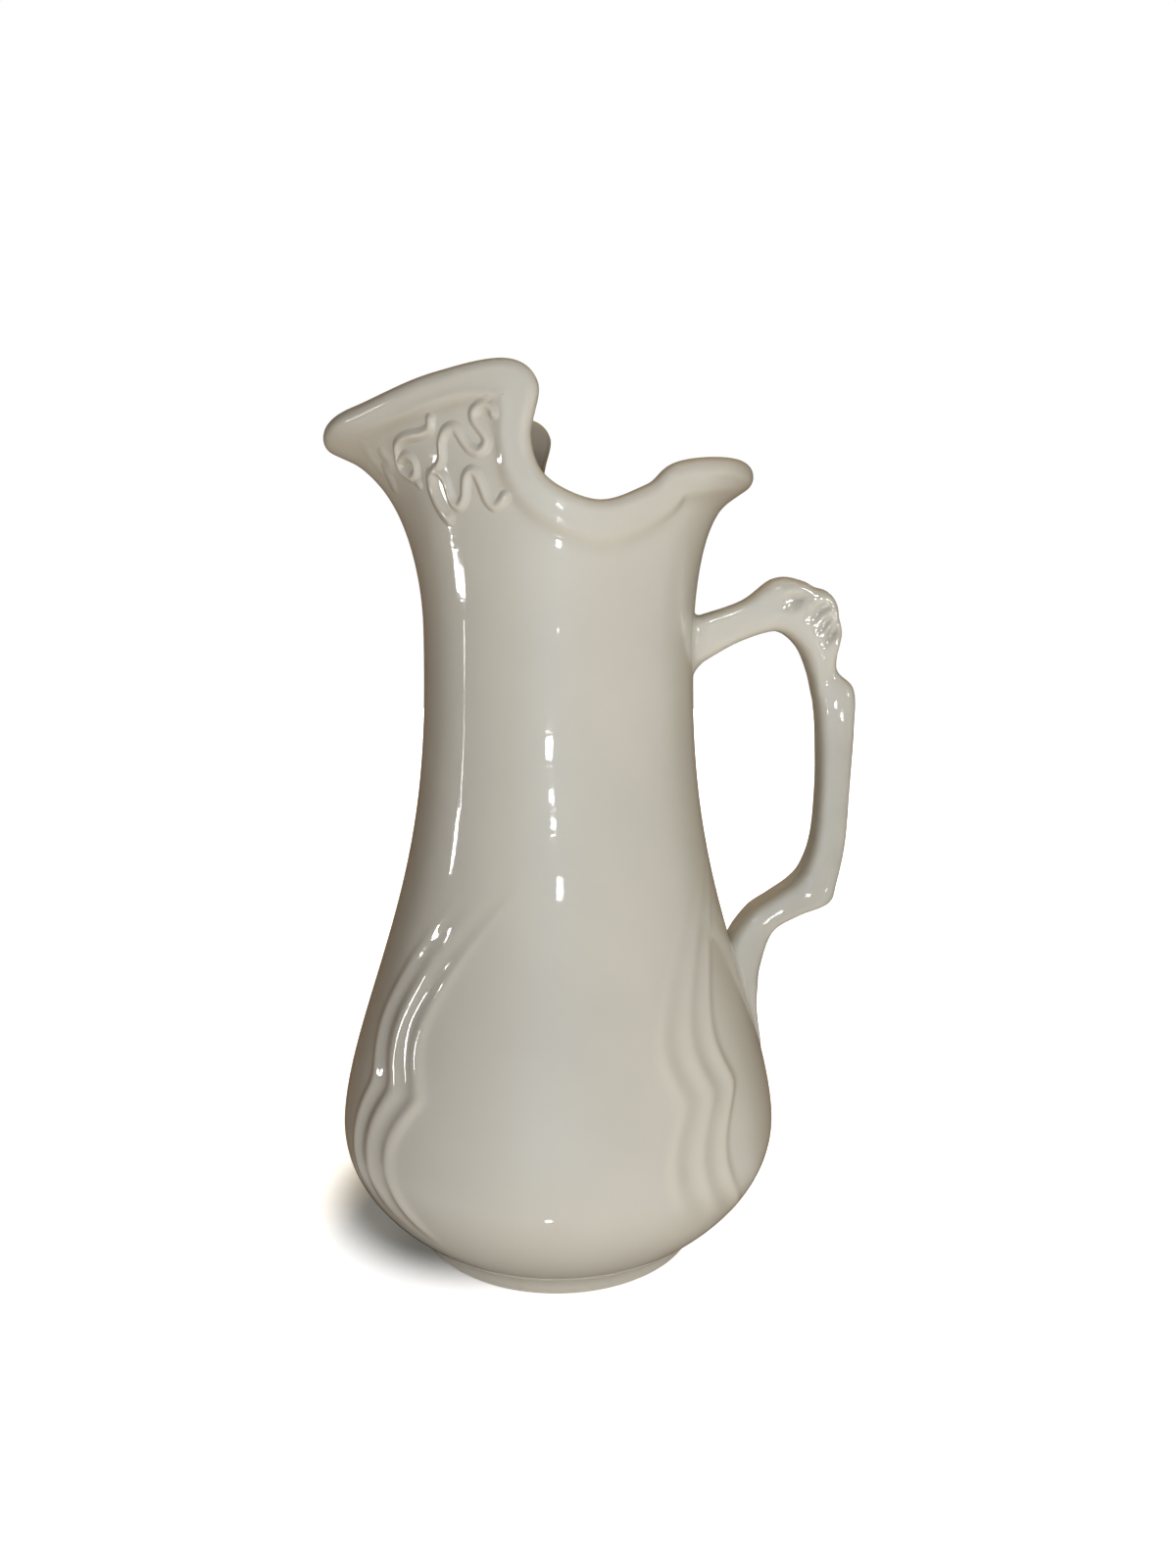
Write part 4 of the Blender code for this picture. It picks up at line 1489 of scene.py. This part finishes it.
        faces = grid_faces(*shape, wrap_columns=False)
        faces = faces[(rise[faces] > 0).any(1)]
        edges = np.stack([faces, np.roll(faces, -1, 1)], -1).reshape(-1, 2)
        _, first, uses = np.unique(np.sort(edges, 1), axis=0, return_index=True, return_counts=True)
        rims = edges[first[uses == 1]]
        count = len(top_sheet)
        walls = np.stack([rims[:, 1], rims[:, 0], rims[:, 0] + count, rims[:, 1] + count], -1)
        faces = np.vstack([faces, faces[:, ::-1] + count, walls])
        used, faces = np.unique(faces, return_inverse=True)
        faces = faces.reshape(-1, 4)
        points = np.vstack([top_sheet, bed_sheet])[used]
        if side is Side.NEAR:
            points, faces = points * [1, -1, 1], faces[:, ::-1]
        # Pooled glaze and painted shade beside the beads and at the band's step; thin glaze and a painted
        # highlight on the beads' tops.
        pool_and_shade = np.concatenate([np.maximum(self.pooling_and_shade * beside, pooling_and_shade), np.zeros(count)])[used]
        thin_and_highlight = np.concatenate([(rise / self.rise) ** self.thin_and_highlight_power, np.zeros(count)])[used]
        clay = Clay(node + "_glazed", points, [faces], pool_and_shade, thin_and_highlight)
        return clay.fire(finish.material(node + "_glaze"), Slot.RELIEF, node)


@dataclass(frozen=True)
class Lamp:
    """A rectangular soft light, aimed at a point."""

    name: str
    place: Place
    size: tuple[float, float]
    watts: float
    colour: Colour = WHITE
    aim: Place = (0.0, 0.0, 0.08)
    use: Use = Use.GLOSS
    spread: float = 180.0

    def hang(self) -> None:
        """Adds the light to the scene."""
        light = bpy.data.lights.new(self.name, "AREA")
        light.shape = "RECTANGLE"
        light.size, light.size_y = self.size
        light.energy = self.watts
        light.color = self.colour
        light.spread = math.radians(self.spread)
        lamp = bpy.data.objects.new(self.name, light)
        lamp.location = self.place
        lamp.visible_camera = False
        lamp.visible_glossy = self.use is Use.GLOSS
        lamp.visible_diffuse = self.use is Use.LIGHT
        way = Vector(self.aim) - Vector(self.place)
        lamp.rotation_euler = way.to_track_quat("-Z", "Y").to_euler()
        bpy.context.scene.collection.objects.link(lamp)


@dataclass(frozen=True)
class Studio:
    """The camera of the photograph, a pale floor and plain soft light.

    Lamps either light the clay or only show in its gloss, and two films that only gloss sees darken the
    jug's edges and lay a cool sheen on its front. A row of handle_sparks is a small lamp's place, the place
    on the handle where it shows, its size and its strength.
    """

    axis_x: float
    camera_place: Place = (0.005612, -0.216053, 0.122428)
    pitch: float = math.radians(8.574)
    roll: float = math.radians(-0.204)
    focal_pixels: float = 1150.0
    image_height: float = 1600.0
    sensor: float = 36.0
    clip_start: float = 0.01
    room_colour: Colour = (1.0, 0.90, 0.78)
    room_strength: float = 0.05
    film_tint: Colour = (0.165, 0.108, 0.066)
    film_reach: tuple[float, float] = (0.0262, 0.085)
    film_rings: int = 13
    film_sides: int = 144
    film_lift: float = 0.0006
    film_top: float = 0.6
    film_start: float = 72.0
    film_fade: float = 34.0
    film_foot: tuple[float, float] = (0.040, 0.042)
    glow_colour: Colour = (0.28, 0.60, 1.05)
    glow_heading: float = -5.0
    glow_spread: tuple[float, float] = (38.0, 40.0)
    glow_reach: tuple[float, float] = (0.10, 1.10)
    glow_half: float = 1.0
    glow_lift: float = 0.0008
    glow_upright: tuple[float, float] = (0.05, 1.2)
    glow_eye: float = 0.08
    glow_rows: tuple[int, int] = (26, 20)
    glow_columns: int = 61
    floor_half: float = 6.0
    floor_colour: Colour = (0.86, 0.86, 0.86)
    floor_roughness: float = 0.9
    # Middle of the painted shadow on the floor, and how the floor's glow fades in with distance from it.
    shade_place: Place = (-0.0193, 0.0133, 0.0)
    shade_ramps: tuple[tuple[float, ...], ...] = ((0.0288, 0.0424, 0.0, 1.0), (0.030, 0.066, 0.88, 1.0))
    lamps: tuple[Lamp, ...] = (
        Lamp("front_softbox", (0.032, -0.448, 0.035), (0.20, 0.05), 0.51, (1.0, 0.98, 0.97), use=Use.LIGHT),
        Lamp("front_left_softbox", (-0.197, -0.408, 0.035), (0.20, 0.05), 0.09, use=Use.LIGHT),
        Lamp(
            "front_right_softbox", (0.183, -0.408, 0.035), (0.20, 0.05), 0.62, (0.98, 1.0, 0.94),
            use=Use.LIGHT,
        ),
        Lamp("high_softbox", (0.20, 0.38, 1.17), (0.60, 0.60), 6.0, (1.0, 0.80, 0.50), use=Use.LIGHT),
        Lamp("back_softbox", (-0.007, 1.20, 0.30), (0.50, 0.60), 6.0, (1.0, 0.98, 0.94), use=Use.LIGHT),
        Lamp("left_sill", (-0.52, -0.064, 0.063), (0.09, 0.018), 0.16),
        Lamp(
            "left_window", (-1.00, -0.115, 0.118), (0.05, 0.040), 0.00080,
            aim=(-0.02, -0.02, 0.070), spread=9.6,
        ),
        Lamp("left_slit", (-1.00, -0.140, 0.085), (0.014, 0.030), 0.024),
        Lamp(
            "left_transom", (-1.00, -0.120, 0.220), (0.05, 0.020), 0.00036,
            aim=(-0.02, -0.02, 0.070), spread=9.6,
        ),
        Lamp("spark_1", (-0.0162, -0.1004, 0.1000), (0.008, 0.0026), 0.0026, aim=(-0.0078, -0.0259, 0.0993)),
        Lamp("spark_2", (-0.0131, -0.1004, 0.0962), (0.006, 0.0008), 0.0006, aim=(-0.0073, -0.0266, 0.0917)),
        Lamp("spark_3", (-0.0107, -0.1004, 0.0941), (0.006, 0.0008), 0.0006, aim=(-0.0070, -0.0274, 0.0860)),
        Lamp("spark_4", (-0.0037, -0.1004, 0.0893), (0.007, 0.0012), 0.0011, aim=(-0.0060, -0.0285, 0.0780)),
        Lamp("spark_5", (-0.0045, -0.1004, 0.1236), (0.005, 0.0006), 0.0004, aim=(-0.0062, -0.0284, 0.1390)),
        Lamp("spark_6", (-0.0040, -0.1004, 0.1212), (0.005, 0.0006), 0.0004, aim=(-0.0060, -0.0280, 0.1370)),
        Lamp("spark_7", (-0.0042, -0.1004, 0.1179), (0.005, 0.0008), 0.0005, aim=(-0.0061, -0.0269, 0.1341)),
        Lamp("spark_8", (-0.0090, -0.0660, 0.0046), (0.0028, 0.0016), 0.0005, aim=(-0.0074, -0.0424, 0.0231)),
    )
    handle_sparks: tuple[tuple[float, ...], ...] = (
        (0.1159, -0.0568, 0.1156, 0.0434, -0.0043, 0.1252, 0.0095, 3.2),
        (0.0732, -0.0613, 0.1881, 0.0399, -0.0046, 0.1266, 0.0095, 3.2),
        (0.0943, -0.0703, 0.1426, 0.0358, -0.0042, 0.1248, 0.0095, 3.2),
        (0.0658, -0.0854, 0.1520, 0.0396, -0.0051, 0.1209, 0.0095, 3.2),
        (0.0973, -0.0756, 0.1282, 0.0422, -0.0051, 0.1186, 0.0095, 3.2),
        (0.1092, -0.0694, 0.1173, 0.0477, -0.0044, 0.1076, 0.0100, 1.0),
        (0.0590, -0.0934, 0.1007, 0.0454, -0.0046, 0.1056, 0.0045, 1.0),
        (0.0708, -0.0909, 0.0952, 0.0465, -0.0046, 0.1038, 0.0045, 1.0),
        (0.0540, -0.0912, 0.0475, 0.0412, -0.0048, 0.0690, 0.0045, 1.0),
        (0.0852, -0.0818, 0.0472, 0.0447, -0.0047, 0.0699, 0.0060, 1.0),
        (0.0535, -0.0904, 0.0447, 0.0332, -0.0048, 0.0635, 0.0018, 1.0),
        (0.0216, -0.0752, 0.1763, 0.0191, -0.0048, 0.1203, 0.0120, 1.0),
    )
    spark_spread: float = 20.0
    spark_shape: float = 0.8

    def set_up(self) -> None:
        """Adds the camera, the light, the world and the floor."""
        self.add_camera()
        for lamp in self.lamps:
            lamp.hang()
        for number, row in enumerate(self.handle_sparks, 1):
            place, aim, (size, strength) = row[:3], row[3:6], row[6:]
            sides, watts = (size, self.spark_shape * size), strength * size**2
            Lamp(f"handle_spark_{number}", place, sides, watts, aim=aim, spread=self.spark_spread).hang()
        self.add_world()
        self.add_floor()
        self.add_dark_film()
        self.add_front_glow()
        bpy.context.scene.view_settings.view_transform = "Standard"

    def add_camera(self) -> None:
        """Places the camera from its pitch and roll: its axes are right, up and back."""
        data = bpy.data.cameras.new("camera")
        data.sensor_width = self.sensor
        data.lens = self.focal_pixels / self.image_height * data.sensor_width
        data.clip_start = self.clip_start
        camera = bpy.data.objects.new("camera", data)
        right = Vector((1, 0, 0))
        up = Vector((0, math.sin(self.pitch), math.cos(self.pitch)))
        back = Vector((0, -math.cos(self.pitch), math.sin(self.pitch)))
        c, s = math.cos(self.roll), math.sin(self.roll)
        axes = Matrix((c * right - s * up, s * right + c * up, back)).transposed()
        x, y, z = self.camera_place
        camera.matrix_world = Matrix.Translation((self.axis_x + x, y, z)) @ axes.to_4x4()
        bpy.context.scene.collection.objects.link(camera)
        bpy.context.scene.camera = camera

    def add_world(self) -> None:
        """A dim even room, white where the camera or a reflection looks at it."""
        world = bpy.data.worlds.new("room")
        world.use_nodes = True
        bpy.context.scene.world = world
        tree = world.node_tree
        room = tree.nodes["Background"]
        room.inputs["Color"].default_value = (*self.room_colour, 1.0)
        room.inputs["Strength"].default_value = self.room_strength
        white = tree.nodes.new("ShaderNodeBackground")
        white.inputs["Color"].default_value = (*WHITE, 1.0)
        mixer = tree.nodes.new("ShaderNodeMixShader")
        tree.links.new(self.seen(tree), mixer.inputs["Fac"])
        tree.links.new(room.outputs["Background"], mixer.inputs[1])
        tree.links.new(white.outputs["Background"], mixer.inputs[2])
        tree.links.new(mixer.outputs["Shader"], tree.nodes["World Output"].inputs["Surface"])

    @staticmethod
    def seen(tree: Tree) -> Socket:
        """Whether a ray comes from the camera, a reflection or through glass, and isn't light.

        Args:
            tree: The nodes of the world or of a material.

        Returns:
            1 where it does, otherwise 0.
        """
        path = tree.nodes.new("ShaderNodeLightPath")
        total = path.outputs["Is Camera Ray"]
        for name in ("Is Glossy Ray", "Is Transmission Ray"):
            node = tree.nodes.new("ShaderNodeMath")
            node.operation = "MAXIMUM"
            tree.links.new(total, node.inputs[0])
            tree.links.new(path.outputs[name], node.inputs[1])
            total = node.outputs[0]
        return total

    def add_floor(self) -> None:
        """A pale floor that keeps the jug's cast shadow and glows white, except in a painted shadow round a
        place behind the foot's middle and towards the spout, and turns white with distance from it.

        In reflections it is evenly white, without the pools of light in front of the lamps.
        """
        mesh = bpy.data.meshes.new("floor")
        far = self.floor_half
        mesh.from_pydata([(-far, -far, 0), (far, -far, 0), (far, far, 0), (-far, far, 0)], [], [(0, 1, 2, 3)])
        floor = bpy.data.objects.new("floor", mesh)
        bpy.context.scene.collection.objects.link(floor)
        material = bpy.data.materials.new("pale_floor")
        material.use_nodes = True
        tree = material.node_tree
        shader = tree.nodes["Principled BSDF"]
        mirrored = tree.nodes.new("ShaderNodeLightPath").outputs["Is Glossy Ray"]
        pale = blend(tree, mirrored, self.floor_colour, BLACK)
        tree.links.new(pale, shader.inputs["Base Color"])
        shader.inputs["Roughness"].default_value = self.floor_roughness
        shader.inputs["Specular IOR Level"].default_value = 0.0
        glow = tree.nodes.new("ShaderNodeEmission")
        glow.inputs["Color"].default_value = (*WHITE, 1.0)
        place = tree.nodes.new("ShaderNodeTexCoord").outputs["Object"]
        distance = tree.nodes.new("ShaderNodeVectorMath")
        distance.operation = "DISTANCE"
        distance.inputs[1].default_value = self.shade_place
        tree.links.new(place, distance.inputs[0])
        # Painted shadow: the white glow fades out by smooth steps towards shade_place.
        share = self.seen(tree)
        for ramp in self.shade_ramps:
            step = span(tree, distance.outputs["Value"], *ramp)
            step.node.interpolation_type = "SMOOTHSTEP"
            share = times(tree, share, step)
        tree.links.new(share, glow.inputs["Strength"])
        total = tree.nodes.new("ShaderNodeAddShader")
        tree.links.new(shader.outputs["BSDF"], total.inputs[0])
        tree.links.new(glow.outputs["Emission"], total.inputs[1])
        tree.links.new(total.outputs["Shader"], tree.nodes["Material Output"].inputs["Surface"])
        mesh.materials.append(material)

    def add_film(
        self, name: str, points: Array, share: Array, tint: Colour = WHITE, glow: Colour = BLACK
    ) -> None:
        """A thin film that only gloss sees, which tints what is behind it and glows.

        Args:
            name: Name of the film.
            points: Its points, in rows and columns.
            share: From 0, clear and dark, to 1, for each point.
            tint: What it lets through where the share is 1.
            glow: What it gives off where the share is 1.
        """
        material = bpy.data.materials.new(name)
        material.use_nodes = True
        tree = material.node_tree
        strength = stored(tree, "share")
        clear = tree.nodes.new("ShaderNodeBsdfTransparent")
        tree.links.new(blend(tree, strength, WHITE, tint), clear.inputs["Color"])
        light = tree.nodes.new("ShaderNodeEmission")
        light.inputs["Color"].default_value = (*glow, 1.0)
        tree.links.new(strength, light.inputs["Strength"])
        total = tree.nodes.new("ShaderNodeAddShader")
        tree.links.new(clear.outputs["BSDF"], total.inputs[0])
        tree.links.new(light.outputs["Emission"], total.inputs[1])
        tree.links.new(total.outputs["Shader"], tree.nodes["Material Output"].inputs["Surface"])
        mesh = bpy.data.meshes.new(name)
        faces = grid_faces(*share.shape, wrap_columns=False)
        mesh.from_pydata(points.reshape(-1, 3).tolist(), [], faces.tolist())
        layer = mesh.attributes.new("share", "FLOAT", "POINT")
        layer.data.foreach_set("value", share.ravel().astype(np.float32))
        mesh.materials.append(material)
        film = bpy.data.objects.new(name, mesh)
        film.visible_camera = film.visible_diffuse = film.visible_shadow = film.visible_transmission = False
        bpy.context.scene.collection.objects.link(film)

    def add_dark_film(self) -> None:
        """A film round the foot and upright behind the jug, which darkens its edges.

        Behind the jug it is dark and clears towards the front, and a dark ring at the foot fades outwards,
        both by a smooth step.
        """
        heading = np.radians(np.linspace(-180, 180, self.film_sides + 1))
        near, far = self.film_reach
        out = np.array([*np.linspace(near, far, self.film_rings), far])[:, None]
        up = np.array([self.film_lift] * self.film_rings + [self.film_top])[:, None]
        across, back = out * np.sin(heading), out * np.cos(heading)
        points = np.stack([self.axis_x + across, -back, up + 0 * heading], -1)
        behind = ease((np.degrees(np.abs(heading)) - self.film_start) / self.film_fade)
        start, fade = self.film_foot
        at_foot = (1 - ease((out - start) / fade)) * (up < self.film_top)
        self.add_film("dark_film", points, np.maximum(behind, at_foot), tint=self.film_tint)

    def add_front_glow(self) -> None:
        """A cool glow in front, on the floor and upright, as one broad soft source would give.

        It is strongest at the horizon and falls off to all sides by a raised cosine of the angle.
        """
        floor_rows, upright_rows = self.glow_rows
        across = np.linspace(-self.glow_half, self.glow_half, self.glow_columns)
        near, far = self.glow_reach
        back = np.array([*np.linspace(near, far, floor_rows), *[far] * upright_rows])[:, None]
        upright = np.linspace(*self.glow_upright, upright_rows)
        up = np.array([*[self.glow_lift] * floor_rows, *upright])[:, None]
        points = np.stack([self.axis_x + across + 0 * up, -back + 0 * across, up + 0 * across], -1)
        heading = np.degrees(np.arctan2(across, back)) - self.glow_heading
        height = np.degrees(np.arctan2(up - self.glow_eye, np.hypot(across, back)))
        wide, high = self.glow_spread
        self.add_film("front_glow", points, hump(heading / wide) * hump(height / high), glow=self.glow_colour)


def main() -> None:
    """Builds the jug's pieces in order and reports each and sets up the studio."""
    logging.basicConfig(level=logging.INFO, format="%(name)s: %(message)s")
    low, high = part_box("foot_ring")
    axis_x = (low[0] + high[0]) / 2
    wall = Wall(axis_x)
    rim = Rim(wall)
    glaze = Glaze()
    # A copy of the glaze for the handle and its lutes, whose greyer pooled colour is laid on more strongly,
    # which paints shade on the handle, most of all on its grip.
    shaded_handle_glaze = Glaze(
        colour=(0.65, 0.632, 0.575), cloud=(0.625, 0.605, 0.555), pooled_and_shaded=(0.44, 0.430, 0.395), pooling_and_shade=0.9
    )

    handle, scrolls = Handle(wall), Scrolls(rim)
    pieces = (
        Body(wall, Flutes(), rim).build(glaze),
        FootRing(wall).build(glaze),
        handle.build(shaded_handle_glaze),
        handle.build_upper_lute(shaded_handle_glaze),
        handle.build_lower_lute(shaded_handle_glaze),
        scrolls.build(Side.NEAR, "spout_scroll_near", glaze),
        scrolls.build(Side.FAR, "spout_scroll_far", glaze),
    )
    for piece in pieces:
        mesh = piece.data
        triangles = len(mesh.loops) - 2 * len(mesh.polygons)
        LOG.info("%s: %d points, %d triangles", piece.name, len(mesh.vertices), triangles)
    Studio(axis_x).set_up()


if __name__ == "__main__":
    main()
